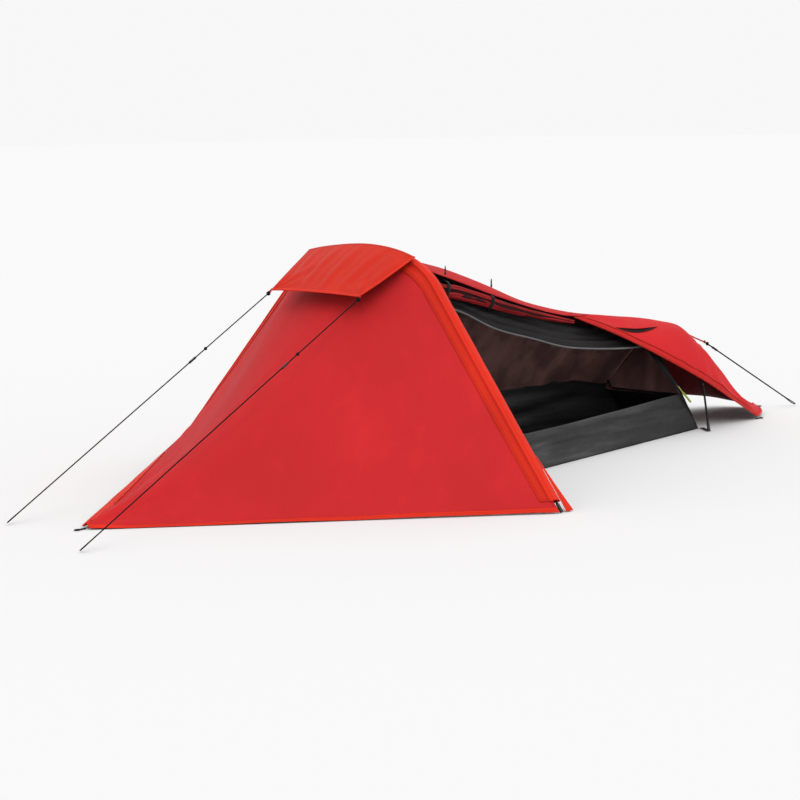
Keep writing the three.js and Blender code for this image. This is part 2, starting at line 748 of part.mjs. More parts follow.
poleSet('main_pole', new Hoop(
  0, HOOP_HALF_BASE - 2, [HOOP_SHOULDER[0], HOOP_SHOULDER[1]], HOOP_HEIGHT, HOOP_LEAN,
), [0.5]);
poleSet('foot_pole', footPole, []);

add('fly_head_panel_near', headPanel(-1), FLY_RED);
add('fly_head_panel_far', headPanel(1), FLY_RED);
add('fly_vent_mesh', ventMesh(), NET);
add('fly_vent_hood', hood(), TRIM_RED);
add('main_pole_sleeve', sleeve(), TRIM_RED);
add('sleeve_patch_near', sleevePatch(-1), TRIM_RED);
add('fly_main_canopy', mainCanopy(), FLY_RED);
add('fly_foot_shoulder_near', footShoulder(), FLY_RED);
add('fly_tail_near', tailNear(), FLY_RED);
add('fly_tail_far', tailFar(), FLY_RED);
add('fly_door_roll', doorRoll(), FLY_RED);
doorTie('door_tie_head', 0.2);
doorTie('door_tie_foot', 0.48);
pegLoop('peg_loop_head', HEAD_PEG_X - 8, 0, 0);
pegLoop('peg_loop_tail', TAIL_PEG_X + 22, 0, 180);
pegLoop('peg_loop_tail_near', TAIL_CORNER[0] + 26, -TAIL_CORNER[1] - 8, 160);
pegLoop('peg_loop_tail_far', TAIL_CORNER[0] + 34, TAIL_CORNER[1] + 10, 200, FAR_CORNER_HEIGHT - 10);

add('inner_floor', tubFloor(), CHARCOAL);
add('inner_wall_near', tubWall(-1, TUB_WALL), CHARCOAL);
add('inner_wall_far', tubWall(1, TUB_WALL_FAR), CHARCOAL);
add('inner_wall_head', tubEnd(TUB_HEAD, 1, TUB_LEAN), CHARCOAL);
add('inner_wall_foot', tubEnd(TUB_FOOT, -1, TUB_FOOT_SLANT), CHARCOAL);
add('inner_net_far', farNet(), NET);
add('inner_net_head', headNet(), NET);
add('inner_door_header', header(), CHARCOAL);
add('inner_door_piping', tube(pipingPath, 3, 8, 24), GREY_PIPING);
add('inner_foot_side_near', footSide(), CHARCOAL);
add('inner_net_foot', footNet(), NET);
add('inner_corner_strap', cornerStrap(), WEBBING);
zip();
guys();

export default tent;
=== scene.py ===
"""A low one-person tent with a side door, in metres: +X from head to foot, -Y the
door side, +Z up, the origin on the ground midway between the tall hoop's feet."""

import math

import bpy
import numpy as np
from mathutils import Matrix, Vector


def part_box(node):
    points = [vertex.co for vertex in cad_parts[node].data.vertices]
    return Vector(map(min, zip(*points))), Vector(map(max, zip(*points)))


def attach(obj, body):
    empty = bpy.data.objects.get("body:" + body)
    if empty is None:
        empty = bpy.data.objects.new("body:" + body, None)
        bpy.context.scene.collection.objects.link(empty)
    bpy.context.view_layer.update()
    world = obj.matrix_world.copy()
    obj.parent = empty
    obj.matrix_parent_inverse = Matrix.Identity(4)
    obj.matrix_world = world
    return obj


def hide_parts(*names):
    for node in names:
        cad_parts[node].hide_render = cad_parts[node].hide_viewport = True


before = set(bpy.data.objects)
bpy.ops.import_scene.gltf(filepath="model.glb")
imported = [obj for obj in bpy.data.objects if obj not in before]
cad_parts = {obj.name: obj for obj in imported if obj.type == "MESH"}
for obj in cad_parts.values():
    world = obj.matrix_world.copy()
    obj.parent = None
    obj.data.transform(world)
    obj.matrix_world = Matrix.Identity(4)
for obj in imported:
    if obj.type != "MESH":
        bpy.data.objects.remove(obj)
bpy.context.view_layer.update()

# ------------------------------------------------------------------ sizes

HOOP = dict(x=0.0, base=0.944, shoulder=(0.338, 0.680), height=0.795, lean=6.9)
FOOT_HOOP = dict(x=1.680, base=0.312, shoulder=(0.178, 0.322), height=0.412, lean=8.0)
HEAD_PEG = np.array([-1.157, 0.0, 0.006])
TAIL_PEG = np.array([2.380, 0.0, 0.012])
TAIL_CORNER_NEAR = np.array([2.085, -0.209, 0.013])
TAIL_HEM = np.array([
    (2.360, 0.0, 0.012), (2.305, 0.118, 0.036), (2.205, 0.165, 0.066), (2.100, 0.204, 0.078),
])
HEM_NEAR_Z, HEM_FAR_Z = 0.004, 0.098
CLOTH = 0.0009  # fabric thickness
CAMERA_AT = (-4.933, -5.119, 1.214)
CAMERA_TURN = (-45.296, 7.511, -0.881)  # azimuth, elevation and roll, in degrees
LENS = 94.5  # mm, on a 36 mm sensor
SURROUND_TONE = 0.935
GROUND_TONE = 0.83
GROUND_HALF = 120.0
SUN_POWER = 0.9
SUN_SPREAD = 50  # degrees across
SUN_TILT = (38, -22)  # degrees about X, then Y

SLEEVE_HALF = 0.0225
SLEEVE_THICK = 0.0085
SLEEVE_FOOT = 0.046  # bare pole below the sleeve

CORD_D = 0.004
RUNNER_HALF = 0.017  # half a line runner's length
PEG_BEND = 0.0084  # half width of the loop round a peg
STRAND = 0.00235  # each strand of a doubled guyline from their middle
GUY_TWIST = 30  # degrees that the head guylines' strands are turned round the line
GUYS = {
    "near": dict(start=(-0.165, -0.219, 0.648), ground=(-1.363, -0.279, 0.007), runner=0.395),
    "far": dict(start=(-0.165, 0.219, 0.648), ground=(-1.249, 0.245, 0.007), runner=0.395),
    "foot": dict(start=(2.009, -0.014, 0.304), ground=(2.519, -0.100, 0.007), runner=0.052),
}

# The tub's half width at the head, the tall hoop and the foot.
TUB_X = np.array([-0.425, 0.040, 1.731])
TUB_HALF = np.array([0.330, 0.432, 0.188])
TUB_LONG = TUB_X[-1] - TUB_X[0]
TUB_TALL = 0.150
TUB_FAR_RISE = 0.055  # how much taller the far side is
TUB_DIP = 0.10  # the share by which the top edge dips in the middle
TUB_LEAN = 0.016
FLOOR_Z = 0.0022
FOOT_SLANT = 0.110  # how far the tub's foot end leans in towards the head
MIDDLE = np.array([0.6, 0.0, 0.2])  # a point well inside the tent


# ------------------------------------------------------------------ camera and light

def placed(name, data):
    """An object for this data, linked into the scene."""
    made = bpy.data.objects.new(name, data)
    bpy.context.scene.collection.objects.link(made)
    return made


def aim_camera():
    """The camera looks along azimuth 45.3 degrees, a little downwards and tilted."""
    azimuth, elevation, roll = np.radians(CAMERA_TURN)
    ahead = -np.array([
        math.sin(azimuth) * math.cos(elevation),
        -math.cos(azimuth) * math.cos(elevation),
        math.sin(elevation),
    ])
    level = np.cross(ahead, [0, 0, 1])
    level /= np.linalg.norm(level)
    upright = np.cross(level, ahead)
    right = math.cos(roll) * level + math.sin(roll) * upright
    up = math.cos(roll) * upright - math.sin(roll) * level
    data = bpy.data.cameras.new("camera")
    data.lens = LENS
    data.sensor_width = 36
    data.clip_end = 300
    camera = placed("camera", data)
    turn = Matrix(np.column_stack([right, up, -ahead]).tolist()).to_4x4()
    camera.matrix_world = Matrix.Translation(CAMERA_AT) @ turn
    bpy.context.scene.camera = camera


def light_studio():
    """An even pale surround with one broad soft light above the door side."""
    scene = bpy.context.scene
    scene.view_settings.view_transform = "Standard"
    world = bpy.data.worlds.new("surround")
    world.use_nodes = True
    background = world.node_tree.nodes["Background"]
    background.inputs["Color"].default_value = (*[SURROUND_TONE] * 3, 1)
    scene.world = world
    data = bpy.data.lights.new("softbox", "SUN")
    data.energy = SUN_POWER
    data.angle = math.radians(SUN_SPREAD)
    light = placed("softbox", data)
    tilts = [Matrix.Rotation(math.radians(a), 4, axis) for a, axis in zip(SUN_TILT, "XY")]
    light.matrix_world = tilts[0] @ tilts[1]


# ------------------------------------------------------------------ shader helpers

class Socket:
    """A node's output; + - * and ** on it, and sin(), abs() and ramp(), add Math and Map Range nodes."""

    def __init__(self, finish, out):
        self.finish = finish
        self.out = out

    def _math(self, operation, *values):
        return self.finish.node("Math", {"operation": operation}, *values)

    def __add__(self, other):
        return self._math("ADD", self, other)

    def __sub__(self, other):
        return self._math("SUBTRACT", self, other)

    def __rsub__(self, other):
        return self._math("SUBTRACT", other, self)

    def __mul__(self, other):
        return self._math("MULTIPLY", self, other)

    def __pow__(self, other):
        return self._math("POWER", self, other)

    __radd__ = __add__
    __rmul__ = __mul__

    def sin(self):
        return self._math("SINE", self)

    def abs(self):
        return self._math("ABSOLUTE", self)

    def ramp(self, low, high, to_low=0.0, to_high=1.0):
        """A smooth step from to_low at low to to_high at high."""
        settings = {"interpolation_type": "SMOOTHSTEP"}
        return self.finish.node("MapRange", settings, self, low, high, to_low, to_high)


class Finish:
    """A material on one Principled shader, and the nodes that feed it."""

    def __init__(self, name, colour, roughness, **sockets):
        self.material = bpy.data.materials.new(name)
        self.material.use_nodes = True
        self.tree = self.material.node_tree
        self.shader = self.tree.nodes["Principled BSDF"]
        self.set("Base Color", (*colour, 1))
        self.set("Roughness", roughness)
        for key, value in sockets.items():
            self.set(key.replace("_", " "), value)
        self.height = None

    def feed(self, socket, value):
        """Links a Socket, or sets a plain value."""
        if isinstance(value, Socket):
            self.tree.links.new(value.out, socket)
        else:
            socket.default_value = value

    def set(self, name, value):
        self.feed(self.shader.inputs[name], value)

    def node(self, kind, settings, *values, out=0, **named):
        made = self.tree.nodes.new("ShaderNode" + kind)
        for key, value in settings.items():
            setattr(made, key, value)
        pairs = list(zip(made.inputs, values))
        pairs += [(made.inputs[key.replace("_", " ")], value) for key, value in named.items()]
        for socket, value in pairs:
            self.feed(socket, value)
        return Socket(self, made.outputs[out])

    def place(self, scale=(1, 1, 1)):
        """Object coordinates, stretched by a Mapping node."""
        where = self.node("TexCoord", {}, out="Object")
        return self.node("Mapping", {}, where, Scale=scale)

    def along(self):
        """The piece's own UV map in metres, as its two numbers."""
        where = self.node("UVMap", {"uv_map": "cut"})
        split = self.tree.nodes.new("ShaderNodeSeparateXYZ")
        self.feed(split.inputs[0], where)
        return Socket(self, split.outputs[0]), Socket(self, split.outputs[1])

    def length_share(self):
        """0 at the tall hoop, growing smoothly to 1 at the small one; it places the painted shadow towards the
        foot.
        """
        where = self.node("SeparateXYZ", {}, self.node("TexCoord", {}, out="Object"))
        return where.ramp(0.75, 1.68)

    def edge(self):
        """Metres to the piece's nearest edge."""
        return self.node("Attribute", {"attribute_name": "edge"}, out="Fac")

    def noise(self, where, scale, detail=2.0):
        return self.node("TexNoise", {}, Vector=where, Scale=scale, Detail=detail)

    def blend(self, factor, a, b):
        """Colour a where factor is 0, b where it is 1."""
        made = self.tree.nodes.new("ShaderNodeMix")
        made.data_type = "RGBA"
        self.feed(made.inputs["Factor"], factor)
        colours = [s for s in made.inputs if s.type == "RGBA"]
        for socket, value in zip(colours, (a, b)):
            self.feed(socket, value if isinstance(value, Socket) else (*value, 1))
        return Socket(self, next(s for s in made.outputs if s.type == "RGBA"))

    def bump(self, height, distance):
        """Lays one more height on the ones already there."""
        made = self.tree.nodes.new("ShaderNodeBump")
        self.feed(made.inputs["Strength"], 1.0)
        self.feed(made.inputs["Distance"], distance)
        self.feed(made.inputs["Height"], height)
        if self.height is not None:
            self.feed(made.inputs["Normal"], self.height)
        self.height = Socket(self, made.outputs[0])
        self.set("Normal", self.height)


# Cloth patterns, in metres.
THREAD = 0.0011
RIPSTOP = 0.0065
SEAM_INSET = 0.008
STITCH = 0.005
NET_CELL = 0.0016
RIB = 0.0016


def shade(colour, amount):
    return tuple(min(1.0, c * amount) for c in colour)


def woven(name, colour, roughness, dull=0.90, sheen=0.01, gloss=0.06, fold_shading=0.0, foot_shadow=0.0):
    """Coated plain weave: threads both ways, a thicker thread at each grid line,
    cloudy differences in tone, and a stitched hem 8 mm in from the edges; a painted
    highlight on the creases, and where asked painted light and shade along long folds
    and a painted shadow towards the foot."""
    fluff = dict(Sheen_Weight=sheen, Sheen_Roughness=0.45)
    cloth = Finish(name, colour, roughness, Specular_IOR_Level=gloss, **fluff)
    u, v = cloth.along()
    threads = (u * (math.tau / THREAD)).sin() * (v * (math.tau / THREAD)).sin()
    ripstop = [(k * (math.pi / RIPSTOP)).sin().abs() ** 40.0 for k in (u, v)]
    cloud = cloth.noise(cloth.place(), 2.2, 3.0)
    speck = cloth.noise(cloth.place(), 210.0, 2.0)
    creases = cloth.noise(cloth.place((1.0, 1.0, 0.35)), 11.0, 4.0)
    edge = cloth.edge()
    seam = (edge - SEAM_INSET).abs().ramp(0.0007, 0.0013, 1.0, 0.0)
    stitch = seam * ((u + v) * (math.tau / STITCH)).sin().ramp(-0.3, 0.3)
    hem = edge.ramp(0.0095, 0.0105, 1.0, 0.0)
    tone = cloth.blend(cloud.ramp(0.3, 0.72), shade(colour, dull), shade(colour, 1.06))
    tone = cloth.blend(speck.ramp(0.35, 0.75, 0.0, 0.22), tone, shade(colour, 0.72))
    # painted highlight: lighter where the creases' bump stands highest
    tone = cloth.blend(creases.ramp(0.52, 0.70, 0.0, 0.16), tone, shade(colour, 1.3))
    if fold_shading:
        # painted shade in the folds' hollows and painted highlight on their ridges, following the folds' bump
        long = cloth.noise(cloth.place((0.9, 0.9, 7.0)), 3.4, 4.0)
        tone = cloth.blend(long.ramp(0.36, 0.62, fold_shading, 0.0), tone, shade(colour, 0.35))
        tone = cloth.blend(long.ramp(0.50, 0.74, 0.0, fold_shading), tone, shade(colour, 1.7))
        cloth.bump(long, 0.012)
    # painted shadow: the tone darkens towards the small hoop, as if the fly over the foot shades it
    if foot_shadow:
        tone = cloth.blend(cloth.length_share() * foot_shadow, tone, shade(colour, 0.22))
    tone = cloth.blend(hem * 0.10, tone, shade(colour, 0.8))
    tone = cloth.blend(stitch * 0.4, tone, shade(colour, 0.45))
    cloth.set("Base Color", tone)
    cloth.set("Roughness", cloud.ramp(0.25, 0.8, roughness - 0.06, roughness + 0.07))
    cloth.bump(creases, 0.004)
    cloth.bump(threads * 0.5 + (ripstop[0] + ripstop[1]), 0.00012)
    cloth.bump(hem - stitch, 0.0006)
    return cloth.material


def netting(name, colour, clear):
    """Fine mosquito net: round holes in rows; between them the thread."""
    net = Finish(name, colour, 0.75, Specular_IOR_Level=0.1, Sheen_Weight=0.03, Sheen_Roughness=0.5)
    u, v = net.along()
    holes = (u * (math.tau / NET_CELL)).sin() * (v * (math.tau / NET_CELL)).sin()
    folds = net.noise(net.place((1.0, 1.0, 0.25)), 9.0, 3.0)
    bound = net.edge().ramp(0.009, 0.011, 1.0, 0.0)
    thread = holes.ramp(-0.35, 0.35, 1.0 - clear - 0.22, 1.0 - clear + 0.22)
    # painted light and shade: darker in the folds' hollows, lighter on their ridges
    net.set("Base Color", net.blend(folds.ramp(0.35, 0.7), shade(colour, 0.7), shade(colour, 1.5)))
    net.set("Alpha", thread + bound)
    net.bump(folds, 0.006)
    net.bump(holes, 0.0002)
    return net.material


def taped(name, colour, roughness):
    """Woven tape: ribs across it, a firmer thread along each edge, a little fluff."""
    fluff = dict(Sheen_Weight=0.03, Sheen_Roughness=0.4)
    tape = Finish(name, colour, roughness, Specular_IOR_Level=0.15, **fluff)
    u, v = tape.along()
    ribs = (u * (math.tau / RIB)).sin() * (v * (math.tau / (2 * RIB))).sin()
    fuzz = tape.noise(tape.place(), 300.0, 3.0)
    worn = tape.noise(tape.place(), 14.0, 2.0)
    tone = tape.blend(ribs.ramp(-0.6, 0.8), shade(colour, 0.6), shade(colour, 1.5))
    tone = tape.blend(worn.ramp(0.5, 0.8, 0.0, 0.3), tone, shade(colour, 2.2))
    tape.set("Base Color", tone)
    tape.set("Roughness", worn.ramp(0.3, 0.7, roughness - 0.08, roughness + 0.08))
    tape.bump(ribs + fuzz * 0.5, 0.0003)
    return tape.material


def braided(name, colour):
    """Braid: strands crossing both ways round the cord, with a pale fleck."""
    cord = Finish(name, colour, 0.7, Sheen_Weight=0.02, Sheen_Roughness=0.4, Specular_IOR_Level=0.1)
    u, v = cord.along()
    left = ((u * 420.0) + (v * 260.0)).sin()
    right = ((u * 420.0) - (v * 260.0)).sin()
    strands = left * right
    fleck = cord.noise(cord.place(), 120.0, 2.0)
    tone = cord.blend(strands.ramp(-0.7, 0.7), shade(colour, 0.5), shade(colour, 1.9))
    tone = cord.blend(fleck.ramp(0.62, 0.74, 0.0, 0.3), tone, (0.05, 0.05, 0.052))
    cord.set("Base Color", tone)
    cord.set("Roughness", fleck.ramp(0.3, 0.7, 0.62, 0.8))
    cord.bump(strands, 0.0004)
    return cord.material


def hard(name, colour, roughness, metallic=0.0, grain=(1, 1, 1), worn=1.6):
    """Moulded or drawn: fine grain along the piece, dull patches and rubbed spots."""
    solid = Finish(name, colour, roughness, Metallic=metallic)
    fine = solid.noise(solid.place(grain), 260.0, 3.0)
    patch = solid.noise(solid.place(), 17.0, 3.0)
    rub = solid.noise(solid.place(), 60.0, 4.0)
    tone = solid.blend(patch.ramp(0.35, 0.7), shade(colour, 0.8), shade(colour, 1.15))
    tone = solid.blend(rub.ramp(0.62, 0.72, 0.0, 0.4), tone, shade(colour, worn))
    solid.set("Base Color", tone)
    solid.set("Roughness", fine.ramp(0.3, 0.75, roughness - 0.08, roughness + 0.12))
    solid.bump(fine, 0.00015)
    return solid.material


CRIMSON = (0.570, 0.023, 0.026)
ORANGE_RED = (0.730, 0.031, 0.014)
CHARCOAL = (0.043, 0.043, 0.0435)
DARK = (0.0075, 0.0060, 0.0065)
# painted shade: the fly's inside face is the same red as outside, darkened to about a quarter as if in shadow
INSIDE_SHADE = (0.150, 0.010, 0.012)
BLACK = (0.0045, 0.0045, 0.005)


def make_finishes():
    return {
        "fly": woven("crimson fly", CRIMSON, 0.68),
        "hood": woven("orange red hood", shade(ORANGE_RED, 0.86), 0.50, dull=0.93),
        "trim": woven("orange red trim", ORANGE_RED, 0.50, dull=0.93),
        "flange": woven("sewn flange", shade(ORANGE_RED, 0.84), 0.52, dull=0.9),
        # painted light: the fly's crimson made 14 percent lighter for the cloth over the foot
        "tail": woven("fly over foot, painted lighter", shade(CRIMSON, 1.14), 0.68),
        # painted shade: the rolled door is the fly's cloth, painted near black as if shadowed under the canopy
        "door": woven("rolled door in painted shade", (0.052, 0.010, 0.011), 0.55, dull=0.6),
        # painted shade: the door's outer face is the fly's crimson, darkened to 80 percent
        "door fold": woven("door fold", shade(CRIMSON, 0.80), 0.5, dull=0.5),
        "inner": woven("dark inner", DARK, 0.55, dull=0.7, gloss=0.2, fold_shading=0.5),
        # the tub carries painted light and shade along its folds, and a painted shadow towards the foot
        "tub": woven("charcoal tub", CHARCOAL, 0.5, dull=0.72, gloss=0.25, fold_shading=0.95, foot_shadow=0.75),
        "inside": woven("inside face in painted shade", INSIDE_SHADE, 0.7, dull=0.7),
        "inside trim": woven("hem's inside in painted shade", shade(INSIDE_SHADE, 2.0), 0.7, dull=0.7),
        "black inner": woven("dark floor", BLACK, 0.5, dull=0.8, sheen=0.0, gloss=0.1),
        "net": netting("maroon dark net", (0.230, 0.118, 0.108), 0.14),
        "vent net": netting("black vent net", (0.030, 0.010, 0.010), 0.10),
        "piping": taped("grey piping", (0.150, 0.148, 0.150), 0.6),
        "webbing": taped("black webbing", shade(BLACK, 1.5), 0.62),
        "red tape": taped("red webbing", shade(ORANGE_RED, 0.80), 0.55),
        "cord": braided("black cord", (0.0055, 0.0055, 0.006)),
        "pull": taped("olive pull", (0.235, 0.300, 0.050), 0.6),
        "pole": hard("anodised pole", (0.012, 0.012, 0.014), 0.34, metallic=0.75, worn=2.0),
        "ferrule": hard("dark ferrule", (0.060, 0.061, 0.064), 0.3, metallic=1.0, grain=(1, 1, 0.1)),
        "plastic": hard("black nylon", (0.009, 0.009, 0.010), 0.45, worn=2.0),
    }


# The finish of the inside face of each outer cloth: the same cloth painted darker, as painted shade.
LINED = {"fly": "inside", "tail": "inside", "hood": "inside trim"}


# ------------------------------------------------------------------ curves and grids

def step(x, low, high):
    """0 below low, 1 above high, and 3t^2 - 2t^3 between."""
    t = np.clip((x - low) / (high - low), 0, 1)
    return t * t * (3 - 2 * t)


def between(a, b, t):
    """a + (b - a) t, for points and an array of shares t."""
    t = np.asarray(t)[..., None]
    return np.asarray(a) * (1 - t) + np.asarray(b) * t


def hump(t):
    """sin(pi t): 0 at 0, 1 in the middle, 0 at 1."""
    return np.sin(math.pi * t)


def bell(x, centre, width):
    """exp(-((x - centre) / width)^2)."""
    return np.exp(-(((x - centre) / width) ** 2))


def blunt(t, power, least):
    """The width of a piece with rounded ends: sqrt(1 - |t|^power), at least sqrt(least)."""
    return np.sqrt(np.clip(1 - np.abs(t) ** power, least, 1))


def quadratic(a, b, c, t):
    """The quadratic curve from a, pulled towards b, to c."""
    t = t[..., None]
    return a * (1 - t) ** 2 + b * 2 * t * (1 - t) + c * t ** 2


def cubic(t):
    """The four cubic Bernstein weights at t."""
    return (1 - t) ** 3, 3 * t * (1 - t) ** 2, 3 * t ** 2 * (1 - t), t ** 3


def distance_along(line):
    """Metres gone from the line's first point to each of its points."""
    return np.concatenate([[0], np.cumsum(np.linalg.norm(np.diff(line, axis=0), axis=1))])


def unit(vectors):
    return vectors / np.maximum(np.linalg.norm(vectors, axis=-1, keepdims=True), 1e-12)


def smooth_path(points, count):
    """A Catmull-Rom curve through the points, resampled to even steps: each piece is
    the cubic with end slopes (next - previous) / 2."""
    p = np.asarray(points, float)
    p = np.vstack([2 * p[0] - p[1], p, 2 * p[-1] - p[-2]])
    gaps = np.linalg.norm(np.diff(p, axis=0), axis=1) ** 0.5
    knots = np.concatenate([[0], np.cumsum(gaps)])
    t = np.linspace(knots[1], knots[-2], max(count * 8, 64))
    k = np.clip(np.searchsorted(knots, t, side="right") - 1, 1, len(p) - 3)

    def mix(a, b, ta, tb):
        return (a * (tb - t)[:, None] + b * (t - ta)[:, None]) / (tb - ta)[:, None]

    t0, t1, t2, t3 = (knots[k + d] for d in (-1, 0, 1, 2))
    a1 = mix(p[k - 1], p[k], t0, t1)
    a2 = mix(p[k], p[k + 1], t1, t2)
    a3 = mix(p[k + 1], p[k + 2], t2, t3)
    b1 = mix(a1, a2, t0, t2)
    b2 = mix(a2, a3, t1, t3)
    return even(mix(b1, b2, t1, t2), count)


def even(points, count):
    """The same line with count points evenly spaced along it."""
    gone = distance_along(points)
    share = np.linspace(0, gone[-1], count)
    return np.column_stack([np.interp(share, gone, points[:, k]) for k in range(3)])


class Hoop:
    """Two straight legs and a cubic arch between them, in a plane leaning along +X."""

    def __init__(self, x, base, shoulder, height, lean):
        tan = math.tan(math.radians(lean))
        self.along = np.array([math.cos(math.radians(lean)), 0, -math.sin(math.radians(lean))])
        leg = np.array([shoulder[0] - base, shoulder[1]])
        leg /= np.linalg.norm(leg)
        pull = (height - shoulder[1]) / (0.75 * leg[1])
        inner = (shoulder[0] + leg[0] * pull, shoulder[1] + leg[1] * pull)
        t = np.linspace(0, 1, 200)
        b0, b1, b2, b3 = cubic(t)
        y = shoulder[0] * (b3 - b0) + inner[0] * (b2 - b1)
        z = shoulder[1] * (b0 + b3) + inner[1] * (b1 + b2)
        y = np.concatenate([[-base], y, [base]])
        z = np.concatenate([[0], z, [0]])
        self.line = np.column_stack([x + z * tan, y, z])
        self.gone = distance_along(self.line)
        self.length = self.gone[-1]
        self.leg = math.hypot(base - shoulder[0], shoulder[1]) / shoulder[1]

    def at(self, s, offset=0.0):
        """s from -1 at the door side's foot through 0 at the crown to 1."""
        where = (np.asarray(s) + 1) / 2 * self.length
        point = np.stack([np.interp(where, self.gone, self.line[:, k]) for k in range(3)], axis=-1)
        return point + np.asarray(offset)[..., None] * self.along

    def cut(self, height):
        """The s at which the leg is at this height."""
        return 1 - 2 * height * self.leg / self.length


def normals(points):
    """Unit normals of a grid from its differences both ways."""
    du = np.gradient(points, axis=0)
    dv = np.gradient(points, axis=1)
    return unit(np.cross(du, dv))


def fan(points, apex, toward, folds, depth, reach, spread=0.8, phase=0.0):
    """Creases spreading from a held point: depth cos(folds angle) exp(-(r / reach)^2),
    angle measured from the direction toward, in the sheet."""
    lift = unit(normals(points).mean(axis=(0, 1)))
    toward = unit(np.asarray(toward, float) - lift * np.dot(toward, lift))
    side = np.cross(lift, toward)
    w = points - np.asarray(apex)
    r = np.linalg.norm(w, axis=-1)
    angle = np.arctan2(w @ side, w @ toward)
    near = 1 - np.exp(-((r / (0.12 * reach)) ** 2))
    window = np.exp(-((r / reach) ** 2) - (angle / spread) ** 2)
    return depth * np.cos(folds * angle + phase) * near * window


def fans(points, *rows):
    """The sum of fan() over rows of its other arguments."""
    return sum((fan(points, *row) for row in rows[1:]), fan(points, *rows[0]))


def crumple(points, depth, wave, seed, stretch=(1, 1, 1)):
    """A sum of 14 sine waves in seeded directions, wave metres long, to depth."""
    rng = np.random.default_rng(seed)
    total = np.zeros(points.shape[:-1])
    for _ in range(14):
        way = unit(rng.normal(size=3)) * np.asarray(stretch)
        length = wave * rng.uniform(0.6, 1.7)
        total += np.sin(points @ way * (math.tau / length) + rng.uniform(0, math.tau))
    return depth * total / 4


def held_ends(t, low, high=None):
    """1 in the middle, falling to 0 at t = 0 and, where high is given, at t = 1."""
    hold = np.clip(t * low, 0, 1)
    return hold if high is None else hold * np.clip((1 - t) * high, 0, 1)


def above(points, z):
    """Lifts what lies lower than z up to z, in place."""
    points[..., 2] = np.maximum(points[..., 2], z)


def pulled(points, amount):
    """The grid moved along its normals by amount."""
    return points + normals(points) * amount[..., None]


# ------------------------------------------------------------------ meshes

def build(name, verts, faces, uv, finish, node=(), body="tent", edge=None):
    """A mesh object from arrays, with its UV map in metres and its edge distance."""
    mesh = bpy.data.meshes.new(name)
    mesh.from_pydata(verts.reshape(-1, 3).tolist(), [], [list(face) for face in faces])
    mesh.polygons.foreach_set("use_smooth", np.ones(len(mesh.polygons), bool))
    corner = np.empty(len(mesh.loops), np.int32)
    mesh.loops.foreach_get("vertex_index", corner)
    layer = mesh.uv_layers.new(name="cut")
    layer.data.foreach_set("uv", uv.reshape(-1, 2)[corner].astype(np.float32).ravel())
    if edge is not None:
        far = mesh.attributes.new("edge", "FLOAT", "POINT")
        far.data.foreach_set("value", edge.ravel().astype(np.float32))
    mesh.materials.append(finishes[finish])
    piece = placed(name, mesh)
    mesh.update()
    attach(piece, body)
    if node:
        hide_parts(*node)
    return piece


def quads(nu, nv, wrap_v=False):
    """The four corners of each cell of a grid, closed across where wrap_v is set."""
    i, j = np.meshgrid(np.arange(nu - 1), np.arange(nv if wrap_v else nv - 1), indexing="ij")
    k = (j + 1) % nv
    return np.stack([i * nv + j, (i + 1) * nv + j, (i + 1) * nv + k, i * nv + k], -1).reshape(-1, 4)


def lengths(points):
    """Metres gone along each row and each column of a grid."""
    du = np.linalg.norm(np.diff(points, axis=0), axis=-1)
    dv = np.linalg.norm(np.diff(points, axis=1), axis=-1)
    u = np.vstack([np.zeros((1, points.shape[1])), np.cumsum(du, axis=0)])
    v = np.hstack([np.zeros((points.shape[0], 1)), np.cumsum(dv, axis=1)])
    return u, v


def cloth(name, points, finish, node=(), held="stretched", rests_on=(), slot=None, hems="uUvV"):
    """A sheet of cloth on a grid: its flat size is its longest row by its longest
    column, and its area the sum of its cells."""
    u, v = lengths(points)
    far = np.full(u.shape, 9.0)
    for key, gap in (("u", u), ("U", u[-1:] - u), ("v", v), ("V", v[:, -1:] - v)):
        if key in hems:
            far = np.minimum(far, gap)
    faces = quads(*points.shape[:2])
    if ((points - MIDDLE) * normals(points)).sum(-1).mean() < 0:
        faces = faces[:, ::-1]
    piece = build(name, points, faces, np.stack([u, v], -1), finish, node, edge=far)
    if finish in LINED:
        piece.data.materials.append(finishes[LINED[finish]])
    a, b, c, d = (points.reshape(-1, 3)[faces[:, k]] for k in range(4))
    area = 0.5 * np.linalg.norm(np.cross(c - a, d - b), axis=1).sum()
    width, length = v[:, -1].max(), u[-1].max()
    area = min(area, width * length)
    if area < 0.3 * width * length:
        width = area / (0.5 * length)
    thicken(piece, CLOTH, lined=finish in LINED)
    return piece


def outward(points):
    """The grid's normals, turned away from the tent's middle."""
    out = normals(points)
    return out * np.sign(((points - MIDDLE) * out).sum(-1).mean())


def band(name, points, width, finish, rise=0.0022, rows=7, tuck=0.0, **more):
    """A folded band sewn over the edge points[:, 0]: each row of the sheet followed
    for width metres, and lifted off it, most along the band's middle."""
    lifted = points + outward(points) * rise
    pace = np.maximum(lengths(points)[1][:, 4] / 4, 1e-6)[:, None]
    share = np.linspace(0, 1, rows)
    place = np.clip(share * width / pace, 0, points.shape[1] - 1.001)
    low = place.astype(int)
    part = (place - low)[..., None]
    row = np.arange(len(points))[:, None]
    grid = lifted[row, low] * (1 - part) + lifted[row, low + 1] * part
    grid = grid + outward(grid) * (rise * 0.5 * np.sin(math.pi * share) ** 0.5)[None, :, None]
    grid[..., 2] = np.maximum(grid[..., 2] - tuck * (1 - share), 0.0015)
    return cloth(name, grid, finish, **more)


def binding(name, points, width, under, finish="trim", **more):
    """A band of trim that rests on the sheet whose edge it binds."""
    return band(name, points, width, finish, rests_on=[under], slot="trim_fabric", **more)


